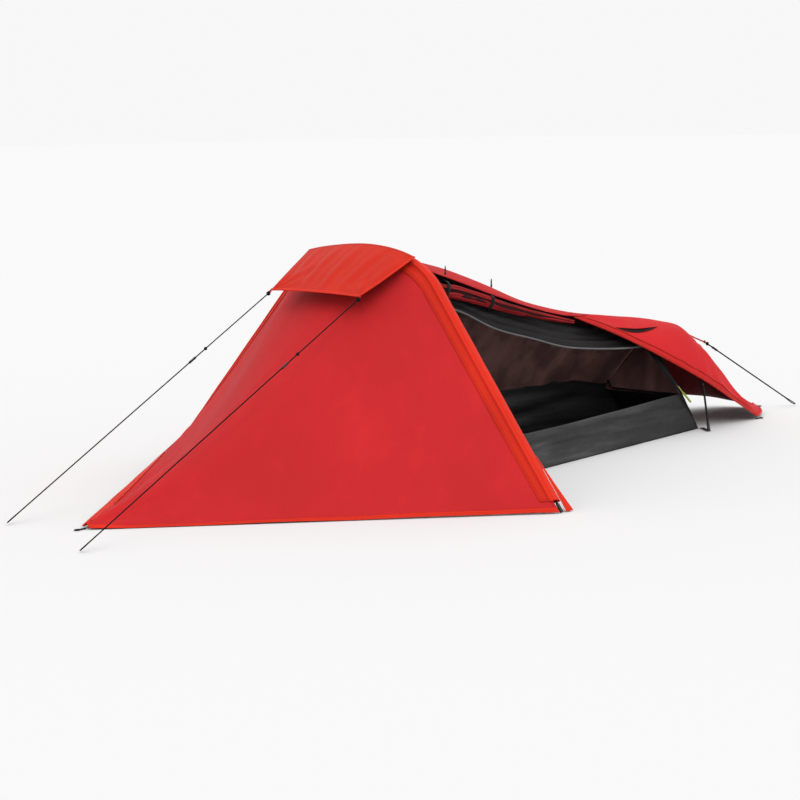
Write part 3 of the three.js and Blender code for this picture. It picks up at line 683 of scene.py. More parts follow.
def swept(name, path, profile, finish, node=(), up=(0, 0, 1), body="tent", slot=None):
    """A closed profile (across, up) carried along a path, its ends closed."""
    ahead = unit(np.gradient(path, axis=0))
    across = unit(np.cross(ahead, np.asarray(up, float)))
    rise = np.cross(across, ahead)
    shape = np.broadcast_to(profile, (len(path), *profile.shape[-2:]))
    grid = path[:, None] + shape[..., :1] * across[:, None] + shape[..., 1:] * rise[:, None]
    return capped(name, grid, finish, node, body, flip=True)


def thicken(piece, thickness, offset=0.0, lined=False):
    shell = piece.modifiers.new("thickness", "SOLIDIFY")
    shell.thickness = thickness
    shell.offset = offset
    shell.material_offset = int(lined)


def capped(name, grid, finish, node=(), body="tent", flip=False):
    """A closed tube from rings of points, each end closed by a fan to its middle."""
    u, v = lengths(grid)
    n, m = grid.shape[:2]
    ring = np.arange(m)
    after = (ring + 1) % m
    last = (n - 1) * m
    sides = quads(n, m, wrap_v=True)
    ends = np.vstack([
        np.column_stack([np.full(m, n * m), after, ring]),
        np.column_stack([np.full(m, n * m + 1), last + ring, last + after]),
    ])
    if flip:
        sides, ends = sides[:, ::-1], ends[:, ::-1]
    verts = np.vstack([grid.reshape(-1, 3), grid[0].mean(0)[None], grid[-1].mean(0)[None]])
    uv = np.vstack([np.stack([u, v], -1).reshape(-1, 2), [[0, 0], [u[-1, 0], 0]]])
    return build(name, verts, sides.tolist() + ends.tolist(), uv, finish, node, body)


def round_profile(radius, sides=10):
    a = np.arange(sides) * (math.tau / sides)
    return np.column_stack([radius * np.cos(a), radius * np.sin(a)])


def oval_profile(half, thick, sides=16, square=0.5):
    """x = half sgn(cos a) |cos a|^square, y the same with sin and thick / 2."""
    a = np.arange(sides) * (math.tau / sides)
    shape = np.column_stack([np.cos(a), np.sin(a)])
    shape = np.sign(shape) * np.abs(shape) ** square
    return shape * [half, thick / 2]


def oval_run(half, thick, sides, square):
    """One oval for each point of a path, from arrays of half widths and half heights."""
    return oval_profile(1.0, 2.0, sides, square)[None] * np.stack([half, thick], -1)[:, None]


# ------------------------------------------------------------------ guylines

def strand_side(along):
    """Across the line between its strands: level, then turned round the line."""
    side = unit(np.cross(along, [0, 0, 1]))
    turn = math.radians(GUY_TWIST if along[0] < 0 else 0)
    return side * math.cos(turn) + np.cross(along, side) * math.sin(turn)


def guy_points(start, ground, runner):
    """Down one side of the line's middle, round a loop of 8 mm radius where the peg
    stands, and back up through the runner."""
    start, ground = np.array(start), np.array(ground)
    along = unit(ground - start)
    side = strand_side(along)
    length = np.linalg.norm(ground - start)
    doubled = length - runner + 0.062

    def back(gone, out):
        return ground - along * gone + side * out

    loop = [(0.06, STRAND + 0.001), (0.034, PEG_BEND - 0.001), (0.018, PEG_BEND), (0.007, PEG_BEND * 0.8)]
    points = [start - side * STRAND]
    points += [back(d, -STRAND) for d in np.arange(length * 0.86, 0.08, -length * 0.14)]
    points += [back(d, -w) for d, w in loop] + [back(0.002, 0)]
    points += [back(d, w) for d, w in loop[::-1]]
    points += [back(d, STRAND) for d in np.arange(length * 0.14, doubled, length * 0.14)]
    points.append(back(doubled, STRAND))
    return np.array(points)


def runner_piece(name, start, ground, gone, node, body):
    """A three-holed line runner: a rounded plate, waisted in the middle, 34 mm long:
    half width 5.4 + 1.4 cos^2 of the way along, in millimetres."""
    start, ground = np.array(start), np.array(ground)
    along = unit(ground - start)
    t = np.linspace(-1, 1, 25)
    path = start + along * (gone + RUNNER_HALF * t[:, None])
    end = blunt(t, 6, 0.02)
    half = (0.0054 + 0.0014 * np.cos(t * math.pi) ** 2) * end
    thick = (0.0042 - 0.0006 * np.cos(t * math.pi)) * end
    up = np.cross(strand_side(along), along)
    return swept(name, path, oval_run(half, thick, 20, 0.7), "plastic", (node,), up=up, body=body)


def knot(name, centre, radius):
    """A knot: a ball whose radius swells along three turns, 1 + 0.16 cos(3 a + 4 b)."""
    down, round_it = np.linspace(0.08, math.pi - 0.08, 13), np.linspace(0, math.tau, 25)[:-1]
    b, a = np.meshgrid(down, round_it, indexing="ij")
    r = radius * (1 + 0.16 * np.cos(3 * a + 4 * b))
    ball = np.stack([np.sin(b) * np.cos(a), np.sin(b) * np.sin(a), np.cos(b)], -1)
    return capped(name, np.asarray(centre) + ball * r[..., None], "cord")


def make_guys():
    for key, guy in GUYS.items():
        node = "foot" if key == "foot" else "head_" + key
        path = smooth_path(guy_points(**guy), 320)
        line = swept(f"guy_cord_{key}", path, round_profile(CORD_D / 2), "cord", ("guyline_" + node,))
        ends = guy["start"], guy["ground"], guy["runner"]
        runner = runner_piece("runner_plate_" + key, *ends, "guy_runner_" + node, "runner_" + key)


# ------------------------------------------------------------------ fly

hoop = Hoop(**HOOP)
foot_hoop = Hoop(**FOOT_HOOP)
S_NEAR = hoop.cut(HEM_NEAR_Z)
S_FAR = hoop.cut(HEM_FAR_Z)
S_FAR_FOOT = foot_hoop.cut(HEM_FAR_Z)
SLEEVE_START = 2 * SLEEVE_FOOT / hoop.length
VENT_DEPTH, VENT_HALF = 0.10, 0.105


def mesh_uv(nu, nv):
    """Two grids of shares from 0 to 1, one growing by rows and one by columns."""
    return np.meshgrid(np.linspace(0, 1, nu), np.linspace(0, 1, nv), indexing="ij")


def head_cloth(s, t):
    """From the hoop at s to the head peg, a share t of the way, hanging lower by
    0.105 sin(pi t) (1 - |s / hem|^3), and lower still on the closed side."""
    start = hoop.at(s, np.full(np.shape(s), -0.014))
    edge = np.where(s < 0, S_NEAR, S_FAR)
    inside = 1 - np.abs(s / edge) ** 3
    deep = np.where(s < 0, 0.105, 0.105 + 0.05 * np.sin(math.pi * np.clip(s / S_FAR, 0, 1)))
    point = between(start, HEAD_PEG, t)
    point[..., 2] -= deep * hump(t) * inside
    return point


def make_head():
    """One sheet over the head: s across the hoop, t from the vent's edge to the peg;
    folded bands along both hems, and the sleeve's sewn flange along the hoop."""
    u, v = mesh_uv(120, 180)
    s = -S_NEAR + (S_NEAR + S_FAR) * v
    reach = VENT_DEPTH * (1 - step(np.abs(s), VENT_HALF, VENT_HALF + 0.06))
    t = reach + (0.978 - reach) * u
    points = head_cloth(s, t)
    corner = hoop.at(-S_NEAR)
    lift = fans(
        points,
        (corner, (-1.0, 0.35, 0.16), 17, 0.0070, 0.40, 0.5),
        (HEAD_PEG, (1.0, -0.45, 0.3), 16, 0.0060, 0.50, 0.8, 1.0),
        (hoop.at(-0.25), (-0.5, -0.4, -1.0), 9, 0.0045, 0.30, 0.9),
        (hoop.at(S_FAR), (-1.0, -0.55, 0.2), 11, 0.006, 0.35, 0.8),
    )
    lift += crumple(points, 0.0018, 0.34, 3)
    lift *= held_ends(u, 8, 12)
    points = pulled(points, lift)
    above(points, 0.0015)
    panels = ("fly_head_panel_near", "fly_head_panel_far")
    cloth("fly_head", points, "fly", panels, rests_on=["main_pole_sleeve"], hems="uvV")
    binding("head_hem_near", points, 0.016, "fly_head", tuck=0.002)
    binding("head_hem_far", points[:, ::-1], 0.030, "fly_head")
    w, v = mesh_uv(9, 240)
    s = -(1 - SLEEVE_START) + (S_FAR + 1 - SLEEVE_START) * v
    strip = head_cloth(s, 0.004 + 0.026 * w)
    strip = strip + outward(strip) * (0.0035 + 0.0015 * np.cos(w * math.pi * 3))[..., None]
    cloth("sleeve_flange", strip, "flange", rests_on=["fly_head", "pole_sleeve"], slot="trim_fabric")


def make_vent_net():
    u, v = mesh_uv(14, 60)
    points = head_cloth((2 * v - 1) * (VENT_HALF + 0.03), VENT_DEPTH * 1.02 * u)
    points[..., 2] -= 0.006
    cloth("vent_net", points, "vent net", ("fly_vent_mesh",), rests_on=["fly_head"], hems="uUvV")


HOOD_REAR_NEAR, HOOD_REAR_FAR = -0.200, 0.215
HOOD_NEAR = np.array([-0.168, -0.219, 0.653])
HOOD_FAR = np.array([-0.158, 0.221, 0.655])


def make_hood():
    """Ruled from the hoop's crown to the straight front hem, bowed up 10 mm in the
    middle, with shallow bands running from the hoop to the hem; its front hem is
    folded under, and its corners end in the guylines' knots."""
    u, v = mesh_uv(60, 110)
    side = 2 * v - 1
    s = HOOD_REAR_NEAR + (HOOD_REAR_FAR - HOOD_REAR_NEAR) * v
    rear = hoop.at(s, np.full(s.shape, -0.020))
    rear[..., 2] += 0.012 + np.where(side > 0, 0.032, 0.012) * np.abs(side) ** 2.4
    front = between(HOOD_NEAR, HOOD_FAR, v)
    front[..., 2] += 0.005 * (1 - side ** 2)
    points = between(rear, front, u)
    points[..., 2] += 0.010 * hump(u) * (1 - side ** 2)
    bands = 0.0020 * np.cos(side * 17 + 1.4 * u) * hump(u)
    bands += 0.0014 * np.cos(side * 31 + 2.0) * hump(u)
    bands += fan(points, HOOD_NEAR, (0.6, 0.5, 0.5), 12, 0.003, 0.16, 0.8)
    bands += fan(points, HOOD_FAR, (0.6, -0.5, 0.5), 12, 0.003, 0.16, 0.8)
    points = points + outward(points) * bands[..., None]
    cloth("vent_hood", points, "hood", ("fly_vent_hood",), rests_on=["main_pole_sleeve", "main_pole_crown"])
    binding("hood_hem", points[::-1].transpose(1, 0, 2), 0.011, "vent_hood", rise=0.0016)
    binding("hood_edge_near", points, 0.010, "vent_hood", rise=0.0016)


def make_sleeve():
    """A flattened tube over the hoop: half width 22.5 mm, and thickness
    8.5 sin(a) |sin(a)|^0.6, so its edges are thin flanges."""
    s = np.linspace(-(1 - SLEEVE_START), S_FAR + 0.01, 260)
    path = hoop.at(s, -0.004)
    a = np.arange(28) * (math.tau / 28)
    thin = np.sin(a) * np.abs(np.sin(a)) ** 0.6
    profile = np.column_stack([SLEEVE_HALF * np.cos(a), SLEEVE_THICK * thin])
    ripple = 1 + 0.05 * np.sin(s * 61) + 0.035 * np.sin(s * 143 + 1)
    shape = profile * np.stack([0.98 + 0.02 * np.sin(s * 37), ripple], -1)[:, None]
    ahead = unit(np.gradient(path, axis=0))
    out = np.cross(ahead, hoop.along)
    grid = path[:, None] + shape[..., :1] * hoop.along + shape[..., 1:] * out[:, None]
    u, v = lengths(grid)
    gap = SLEEVE_HALF * (1 - np.abs(np.cos(a)))[None].repeat(len(s), 0)
    faces = quads(*grid.shape[:2], wrap_v=True)
    piece = build("pole_sleeve", grid, faces, np.stack([u, v], -1), "trim", ("main_pole_sleeve",), edge=gap)
    thicken(piece, CLOTH)


def make_sleeve_patch():
    """The three-cornered patch at the sleeve's end, with a dart pressed across it."""
    u, v = mesh_uv(24, 30)
    s_low = hoop.cut(0.006)
    s_top = hoop.cut(0.165)
    s = -(s_low + (s_top - s_low) * v)
    reach = 0.030 * (1 - v) ** 1.3 + 0.003
    points = hoop.at(s, 0.018 + reach * u)
    points[..., 2] += 0.004 * u * (1 - v)
    points[..., 1] -= 0.004 + 0.002 * bell(u, 0.5, 0.12) * (1 - v)
    cloth("sleeve_patch", points, "trim", ("sleeve_patch_near",), rests_on=["pole_sleeve"])


def ridge_sag(t):
    """How far the ridge hangs between the hoops, a share t of the way."""
    return 0.056 * np.sin(math.pi * np.clip(t, 0, 1) ** 1.3) ** 2


def tail_sag(t):
    """How far the ridge hangs behind the small hoop, a share t of the way."""
    return 0.044 * np.sin(math.pi * np.clip(t, 0, 1) ** 1.6)


def make_canopy():
    """The closed side in one sheet, ruled from hoop to hoop and hanging lower by
    0.056 sin^2(pi t^1.3); past the ridge a strip turns down over the rolled door."""
    u, v = mesh_uv(160, 120)
    strip = np.interp(u, [0.0, 0.35, 0.66, 0.74, 1.0], [-0.078, -0.078, -0.052, 0.004, 0.004])
    a = hoop.at(strip + (S_FAR - strip) * v, np.full(u.shape, 0.016))
    s = strip + (S_FAR_FOOT - strip) * v
    b = foot_hoop.at(s, np.full(u.shape, 0.0))
    points = between(a, b, u)
    points[..., 2] -= ridge_sag(u) * (1 - 0.75 * np.abs(s))
    over = np.clip(-s / 0.078, 0, 1)
    points[..., 2] -= over ** 1.4 * np.interp(u, [0, 0.05, 0.3, 0.6, 0.75], [0.010, 0.030, 0.044, 0.030, 0.0])
    points[..., 1] += over ** 2 * 0.006 * np.sin(u * 23) * step(u, 0.02, 0.1)
    lift = 0.004 * hump(u) * np.cos(v * 21 + 3 * u) * bell(v, 0.5, 0.4)
    lift += fan(points, hoop.at(0.05), (1, 0.1, -0.2), 12, 0.0045, 0.45, 0.7)
    lift += fan(points, hoop.at(S_FAR), (1, -0.5, 0.3), 12, 0.006, 0.5, 0.8)
    lift += fan(points, foot_hoop.at(S_FAR_FOOT), (-1, 0.2, 0.2), 11, 0.006, 0.4, 0.8)
    lift += crumple(points, 0.002, 0.3, 8)
    lift *= held_ends(u, 10, 10)
    points = pulled(points, lift)
    under = ["main_pole_sleeve", "foot_pole_crown"]
    cloth("fly_canopy", points, "fly", ("fly_main_canopy",), rests_on=under, hems="vV")
    binding("canopy_hem_far", points[:, ::-1], 0.024, "fly_canopy")


DOOR_EDGE = np.array([
    (1.130, -0.034, 0.482), (1.250, -0.072, 0.432), (1.370, -0.112, 0.378), (1.530, -0.180, 0.290),
    (1.690, -0.243, 0.196), (1.880, -0.234, 0.104), (2.085, -0.209, 0.011),
])


def ridge_at(x):
    """The ridge's point at each x: two straight lines over the small hoop, sagging."""
    a = hoop.at(0.0, 0.028)
    b = foot_hoop.at(0.0)
    front = np.clip((x - a[0]) / (b[0] - a[0]), 0, 1)
    back = np.clip((x - b[0]) / (TAIL_PEG[0] - b[0]), 0, 1)
    z = np.where(
        x <= b[0],
        a[2] + (b[2] - a[2]) * front - ridge_sag(front),
        b[2] + (TAIL_PEG[2] - b[2]) * back - tail_sag(back),
    )
    return np.stack([x, np.zeros_like(x), z], -1)


# The foot vent's upper edge: share of the way along it, then the sheet's u and v.
FOOT_VENT = np.array([(0.0, 0.165, 0.790), (0.5, 0.280, 0.600), (1.0, 0.385, 0.400)])
FOOT_VENT_DEPTH = 0.12


def make_foot():
    """One sheet from the ridge to the door's edge over the small hoop and down to
    the tail: each section is a quadratic curve, square over the hoop and flatter
    away from it."""
    u, v = mesh_uv(180, 80)
    edge_line = smooth_path(DOOR_EDGE, 400)
    x_edge = 1.140 + (2.085 - 1.140) * u
    edge = np.stack([np.interp(x_edge, edge_line[:, 0], edge_line[:, k]) for k in range(3)], -1)
    x_top = 1.140 + (2.360 - 1.140) * u ** 1.02
    top = ridge_at(x_top)
    middle = foot_hoop.at(0.0)[0]
    full = bell(x_top, middle, 0.26)
    bow = np.stack([
        (top[..., 0] + edge[..., 0]) / 2,
        edge[..., 1] * (0.8 + 0.24 * full),
        top[..., 2] - (top[..., 2] - edge[..., 2]) * 0.22 * (1 - full),
    ], -1)
    points = quadratic(top, bow, edge, v)
    lift = fans(
        points,
        (foot_hoop.at(-0.35), (0.6, -0.2, -0.8), 10, 0.005, 0.32, 1.2),
        (TAIL_CORNER_NEAR, (-1, 0.2, 0.5), 14, 0.006, 0.45, 0.7),
        (TAIL_PEG, (-1, -0.1, 0.6), 14, 0.006, 0.45, 0.7),
        ((1.14, -0.03, 0.49), (1, -0.2, -0.1), 16, 0.004, 0.35, 0.6),
    )
    lift += crumple(points, 0.0022, 0.2, 11)
    lift *= held_ends(v, 12, 12)
    points = pulled(points, lift)
    above(points, 0.003)
    panels = ("fly_foot_shoulder_near", "fly_tail_near")
    cloth("fly_foot_near", points, "tail", panels, rests_on=["foot_pole_crown"], hems="uUV")
    near = points[:, ::-1]
    binding("door_edge_band", near, 0.018, "fly_foot_near", "tail")
    gone = lengths(near)[1]
    for k, (inset, radius) in enumerate(((0.002, 0.0034), (0.022, 0.0026))):
        index = np.argmax(gone >= inset, axis=1)
        line = near[np.arange(len(near)), index]
        path = smooth_path(line[::6] + [0, -0.0020, 0.0020], 150)
        swept(f"door_edge_piping_{k}", path, round_profile(radius, 8), "red tape", slot="trim_fabric")
    binding("tail_hem_near", points[::-1].transpose(1, 0, 2), 0.014, "fly_foot_near")
    make_foot_vent(points)


def make_foot_vent(sheet):
    """A crescent of net in the foot's near slope under a lip of fly cloth: its depth
    is 0.12 of the sheet's width times sin(pi t)^0.8, and the lip stands off 9 mm."""
    t, w = mesh_uv(60, 12)

    def on_sheet(u, v):
        i = np.clip(u, 0, 0.999) * (sheet.shape[0] - 1)
        j = np.clip(v, 0, 0.999) * (sheet.shape[1] - 1)
        a, b = i.astype(int), j.astype(int)
        p, q = (i - a)[..., None], (j - b)[..., None]
        low = sheet[a, b] * (1 - p) + sheet[a + 1, b] * p
        high = sheet[a, b + 1] * (1 - p) + sheet[a + 1, b + 1] * p
        return low * (1 - q) + high * q

    ends = [np.interp(t, FOOT_VENT[:, 0], FOOT_VENT[:, k]) for k in (1, 2)]
    bulge = hump(t) ** 0.8
    net = on_sheet(ends[0], ends[1] + FOOT_VENT_DEPTH * bulge * w)
    net = net + outward(net) * 0.0022
    cloth("foot_vent_net", net, "vent net", rests_on=["fly_foot_near"], slot="mesh_fabric")
    lip = on_sheet(ends[0], ends[1] - 0.035 + (0.035 + 0.30 * FOOT_VENT_DEPTH * bulge) * w)
    lip = lip + outward(lip) * (0.0012 + 0.009 * bulge * w ** 2)[..., None]
    cloth("foot_vent_lip", lip, "tail", rests_on=["fly_foot_near"], slot="fly_fabric")


def make_tail_far():
    """The closed side of the tail, hollowed by 0.034 sin(pi u^0.8) sin(pi v^0.8);
    its end hem bows up off the ground between the peg and the far corner."""
    u, v = mesh_uv(80, 60)
    a = foot_hoop.at(0.0 + S_FAR_FOOT * v, np.full(u.shape, 0.0))
    hem = smooth_path(TAIL_HEM, 200)
    b = np.stack([np.interp(v, np.linspace(0, 1, 200), hem[:, k]) for k in range(3)], -1)
    points = between(a, b, u)
    hollow = 0.034 * np.sin(math.pi * u ** 0.8) * np.sin(math.pi * v ** 0.8)
    points[..., 2] -= tail_sag(u) * (1 - 0.7 * v) + hollow
    lift = fan(points, TAIL_HEM[-1], (-1, -0.2, 0.5), 12, 0.005, 0.35, 0.8) + crumple(points, 0.002, 0.2, 17)
    lift *= held_ends(u, 8) * held_ends(v, 8)
    points = pulled(points, lift)
    above(points, 0.006)
    cloth("fly_tail_far", points, "tail", ("fly_tail_far",), rests_on=["fly_foot_near"], hems="UV")
    binding("tail_hem_far", points[:, ::-1], 0.018, "fly_tail_far")


ROLL_PATH = [
    (0.150, -0.172, 0.672), (0.400, -0.108, 0.634), (0.700, -0.086, 0.556),
    (0.930, -0.074, 0.503), (1.110, -0.060, 0.468),
]
ROLL_TURNS = 2.6
ROLL_SHARES = [0.0, 0.25, 0.48, 0.75, 1.0]
ROLL_SIZES = [1.0, 0.95, 0.78, 0.52, 0.26]  # the roll thins towards the foot


def roll_frame(count):
    """The roll's path, and across it and up from it at each point."""
    path = smooth_path(ROLL_PATH, count)
    ahead = unit(np.gradient(path, axis=0))
    across = unit(np.cross(ahead, [0, 0, 1.0]))
    return path, across, np.cross(across, ahead)


def make_roll():
    """The door rolled on itself: a spiral of 2.6 turns, radius 7 to 25 mm, whose
    loose edge wanders along the roll, squeezed where the ties hold it, with two
    folds of its outer face turned out below it and above it."""
    path, across, rise = roll_frame(150)
    l, a = np.meshgrid(np.linspace(0, 1, 150), np.linspace(0, 1, 120), indexing="ij")
    turn = ROLL_TURNS * math.tau * a + 1.9 + 0.5 * np.sin(l * 7) + 0.25 * np.sin(l * 19)
    ripple = 0.10 * np.sin(2 * turn + 5 * l) + 0.07 * np.sin(5 * turn - 23 * l) + 0.05 * np.sin(l * 47 + turn)
    tied = bell(l, 0.2, 0.03) + bell(l, 0.48, 0.03)
    size = np.interp(l, ROLL_SHARES, ROLL_SIZES) * (1 - 0.14 * tied)
    radius = (0.007 + 0.0175 * a) * (1 + ripple) * size

    def laid(radius, turn):
        x, z = radius * np.cos(turn) * 0.9, radius * np.sin(turn) * 1.05
        return path[:, None] + x[..., None] * across[:, None] + (z[..., None] - 0.003) * rise[:, None]

    folded = dict(held="folded", rests_on=["fly_canopy"], hems="V")
    # the spiral's dark colour is painted shade
    cloth("rolled_door", laid(radius, turn), "door", ("fly_door_roll",), **folded)
    for key, low, high, out in (("lower", -112, -22, 1.10), ("upper", 8, 40, 1.12)):
        l, w = np.meshgrid(np.linspace(0, 1, 150), np.linspace(0, 1, 26), indexing="ij")
        wander = 9 * np.sin(l * 11 + out * 9) + 5 * np.sin(l * 31)
        turn = np.radians(low + (high - low + wander) * w)
        pleat = 1 + 0.05 * np.sin(w * 9 + l * 8) + 0.03 * np.sin(w * 21 - l * 17)
        size = np.interp(l, ROLL_SHARES, ROLL_SIZES) * (1 - 0.10 * np.interp(l, [0.16, 0.2, 0.24], [0, 1, 0]))
        fold = laid(0.0245 * out * pleat * size, turn)
        folded = dict(held="folded", rests_on=["rolled_door"], slot="fly_fabric")
        cloth("door_fold_" + key, fold, "door fold", **folded)


def make_tie(key, share):
    """A webbing loop round the roll and a pointed toggle standing in it."""
    path, across, rise = roll_frame(400)
    k = int(share * 399)
    middle, ahead, across, rise = path[k], unit(path[k + 1] - path[k - 1]), across[k], rise[k]
    a = np.linspace(0, math.tau, 61)[:-1]
    w = np.linspace(-0.008, 0.008, 7)
    ring = 0.0285 * np.interp(share, ROLL_SHARES, ROLL_SIZES) + 0.001 * np.sin(3 * a)
    line = middle + np.outer(ring * 0.95 * np.cos(a), across) + np.outer(ring * 1.08 * np.sin(a) - 0.003, rise)
    grid = line[None] + w[:, None, None] * ahead
    u, v = lengths(grid)
    gap = (0.008 - np.abs(w))[:, None].repeat(60, 1)
    faces = quads(7, 60, wrap_v=True)
    uv, node = np.stack([v, u], -1), (f"door_tie_{key}_strap",)
    thicken(build(f"tie_strap_{key}", grid, faces, uv, "webbing", node, edge=gap), 0.0014, 1)
    low, high = (np.array(c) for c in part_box(f"door_tie_{key}_toggle"))
    foot = np.array([(low[0] + high[0]) / 2, (low[1] + high[1]) / 2, low[2]])
    t = np.linspace(0, 1, 26)
    stem = foot + np.outer(t, [0, 0, high[2] - low[2]])
    waist = 1 - 0.25 * bell(t, 0.4, 0.07)
    radius = 0.0036 * (1 - 0.55 * t ** 1.5) * blunt(2 * t - 1, 10, 0.05) * waist
    shape = round_profile(1.0, 14)[None] * radius[:, None, None]
    node = (f"door_tie_{key}_toggle",)
    swept(f"toggle_{key}_peg", stem, shape, "plastic", node, up=(0, 1, 0), body=f"toggle_{key}")


# ------------------------------------------------------------------ inner tent

def tub_half(x):
    """The tub's half width at x."""
    return np.interp(x, TUB_X, TUB_HALF)


def inner_ridge(x):
    point = ridge_at(np.maximum(x, 0.13))
    point[..., 0] = x
    point[..., 2] -= 0.045
    return point


def make_tub():
    """One band round the floor: near side, foot, far side, head, closed on itself.
    It leans in 16 mm, its foot end slants in 110 mm, and its top edge dips 10
    percent in the middle of each side; long slack folds run along it."""
    x = np.linspace(-0.415, 1.721, 230)
    near = np.column_stack([x, 0.001 - tub_half(x)])
    far = near[::-1] * [1, -1]
    foot = np.column_stack([np.full(50, 1.728), np.linspace(-0.178, 0.178, 50)])
    head = np.column_stack([np.full(60, -0.422), np.linspace(0.318, -0.318, 60)])
    ring = np.vstack([near, foot, far, head])
    n = len(ring)
    v = np.linspace(0, 1, 30)[None]
    x, y = ring[:, :1], ring[:, 1:]
    share = np.clip((x - TUB_X[0]) / TUB_LONG, 0, 1)
    taller = np.where(y > 0.15, TUB_FAR_RISE, 0) * step(x, -0.30, 0.1)
    tall = TUB_TALL + taller * (1 - 0.5 * step(x, 1.55, 1.73))
    tall = tall * (1 - TUB_DIP * hump(share) ** 2)
    end = np.abs(x - 0.65) > 1.068
    inward = -unit(np.hstack([np.where(end, np.sign(x - 0.65), 0), np.where(end, 0, np.sign(y))]))
    slanted = x - FOOT_SLANT * v * step((x - 0.040) / 1.691, 0.7, 1.0)
    points = np.stack([slanted, y * tub_half(slanted) / tub_half(x), FLOOR_Z + tall * v], -1)
    lean = TUB_LEAN * v + 0.003 * (1 - v) ** 4
    gone = distance_along(ring)[:, None]
    wave = 0.0060 * np.sin(8.5 * v + 2.4 * np.sin(gone * 2.3) + gone * 2.1) * hump(v)
    wave += 0.0034 * np.sin(17 * v + 3 * np.sin(gone * 4.1) - gone * 3.0) * hump(v)
    wave += crumple(points, 0.0024, 0.10, 5, (0.3, 0.3, 1.6))
    wave = wave * (1 - 0.9 * step(x, 1.40, 1.68))
    lean = lean + wave * held_ends(v, 6)
    points[..., :2] += inward[:, None] * lean[..., None]
    count = v.size
    last = np.arange(count - 1)
    close = np.column_stack([(n - 1) * count + last, last, last + 1, (n - 1) * count + last + 1])
    u, w = lengths(points)
    piece = build(
        "tub_wall", points, np.vstack([quads(n, count), close]), np.stack([u, w], -1), "tub",
        ("inner_wall_near", "inner_wall_far", "inner_wall_head", "inner_wall_foot"), edge=w[:, -1:] - w,
    )
    thicken(piece, CLOTH)
    float(gone[-1, 0] * tall.mean())


def make_floor():
    u, v = mesh_uv(150, 50)
    x = -0.420 + 2.147 * u
    y = (2 * v - 1) * (tub_half(x) - 0.003)
    z = FLOOR_Z + np.abs(crumple(np.stack([x, y, 0 * x], -1), 0.0015, 0.22, 21)) * hump(v) * hump(u)
    points = np.stack([x, y, z], -1)
    cloth("tub_floor", points, "black inner", ("inner_floor",), held="laid", slot="inner_fabric")


ON_TUB = dict(rests_on=["tub_wall"], slot="mesh_fabric")


def make_far_net():
    """The net on the closed side: a quadratic section from ridge to tub, with
    folds running down it that gather towards the strap."""
    u, v = mesh_uv(160, 50)
    top = inner_ridge(0.100 + 1.562 * u) + [0, 0.008, 0]
    x = 0.100 + 1.523 * u
    brim = 0.205 * (1 - 0.10 * np.sin(math.pi * (x - TUB_X[0]) / TUB_LONG) ** 2)
    low = np.stack([x, tub_half(x) - 0.018, brim - 0.010 - 0.030 * step(x, 1.40, 1.60)], -1)
    round_out = 1 - step(u, 0.85, 1.0)
    middle = (top + low) / 2
    bow = np.stack([x, low[..., 1] * 0.62, top[..., 2] - (top[..., 2] - low[..., 2]) * 0.3], -1)
    bow = middle + (bow - middle) * round_out[..., None]
    points = quadratic(top, bow, low, v)
    lift = 0.006 * np.sin(x * 38 + 3 * np.sin(x * 7)) * hump(v) + 0.003 * np.sin(x * 90) * v * (1 - v) * 4
    lift += fan(points, (1.33, 0.18, 0.40), (0, 0.3, -1), 10, 0.008, 0.28, 1.2)
    cloth("net_far", pulled(points, lift), "net", ("inner_net_far",), held="hung", **ON_TUB)


def make_head_net():
    """The head end: from an arch under the tall hoop down to the tub's head end."""
    u, v = mesh_uv(60, 80)
    x = 0.080
    top = float(inner_ridge(np.array([x + 0.06]))[0, 2])
    half = float(tub_half(x)) - 0.016
    b0, b1, b2, b3 = cubic(v)
    arch = np.stack([
        np.full(v.shape, x),
        half * (b3 - b0) + 0.55 * half * (b2 - b1),
        0.164 * b0 + 0.219 * b3 + top * 1.22 * (b1 + b2),
    ], -1)
    low = np.stack([np.full(v.shape, -0.395), (2 * v - 1) * 0.302, np.full(v.shape, 0.158)], -1)
    points = between(arch, low, u)
    points[..., 2] -= 0.03 * hump(u) * hump(v)
    lift = 0.005 * np.sin(v * 40) * hump(u)
    cloth("net_head", pulled(points, lift), "net", ("inner_net_head",), held="hung", **ON_TUB)


PIPING = [
    (0.150, -0.150, 0.620), (0.434, -0.104, 0.557), (0.632, -0.100, 0.478), (0.844, -0.098, 0.424),
    (1.025, -0.096, 0.379), (1.339, -0.096, 0.346), (1.480, -0.098, 0.342),
]


def make_header():
    """The panel above the inner's door, from its ridge to the piping, with long
    slack folds that follow the piping."""
    path = smooth_path(PIPING, 150)
    u, v = mesh_uv(150, 36)
    low = path[:, None] + [0, 0.002, 0.004]
    top = inner_ridge(path[:, 0])[:, None] + [0, -0.008, 0]
    points = between(top, low, v)
    points[..., 1] -= 0.020 * hump(v) * np.sin(math.pi * np.clip(u * 1.2, 0, 1))
    lift = 0.006 * np.sin(v * 9 + 4 * u) * hump(v) + 0.003 * np.sin(v * 22 + 9 * u) * hump(v)
    hung = dict(held="hung", rests_on=["net_far"], hems="V", slot="inner_fabric")
    cloth("door_header", pulled(points, lift), "inner", ("inner_door_header",), **hung)
    path = smooth_path(PIPING, 120)
    swept("door_piping", path, round_profile(0.0036, 10), "piping", ("inner_door_piping",))


ZIP_TOP = np.array([1.500, -0.104, 0.336])
ZIP_FOOT = np.array([1.545, -0.226, 0.178])


def ruled_panel(name, corners, finish, node, seed, **more):
    """A four-cornered panel with a shallow crumple that fades to nothing at its edges."""
    a, b, c, d = (np.array(p) for p in corners)
    u, v = mesh_uv(40, 40)
    points = between(between(a, b, u), between(d, c, u), v)
    lift = crumple(points, 0.004, 0.11, seed) * hump(u) * hump(v)
    return cloth(name, pulled(points, lift), finish, node, **more)


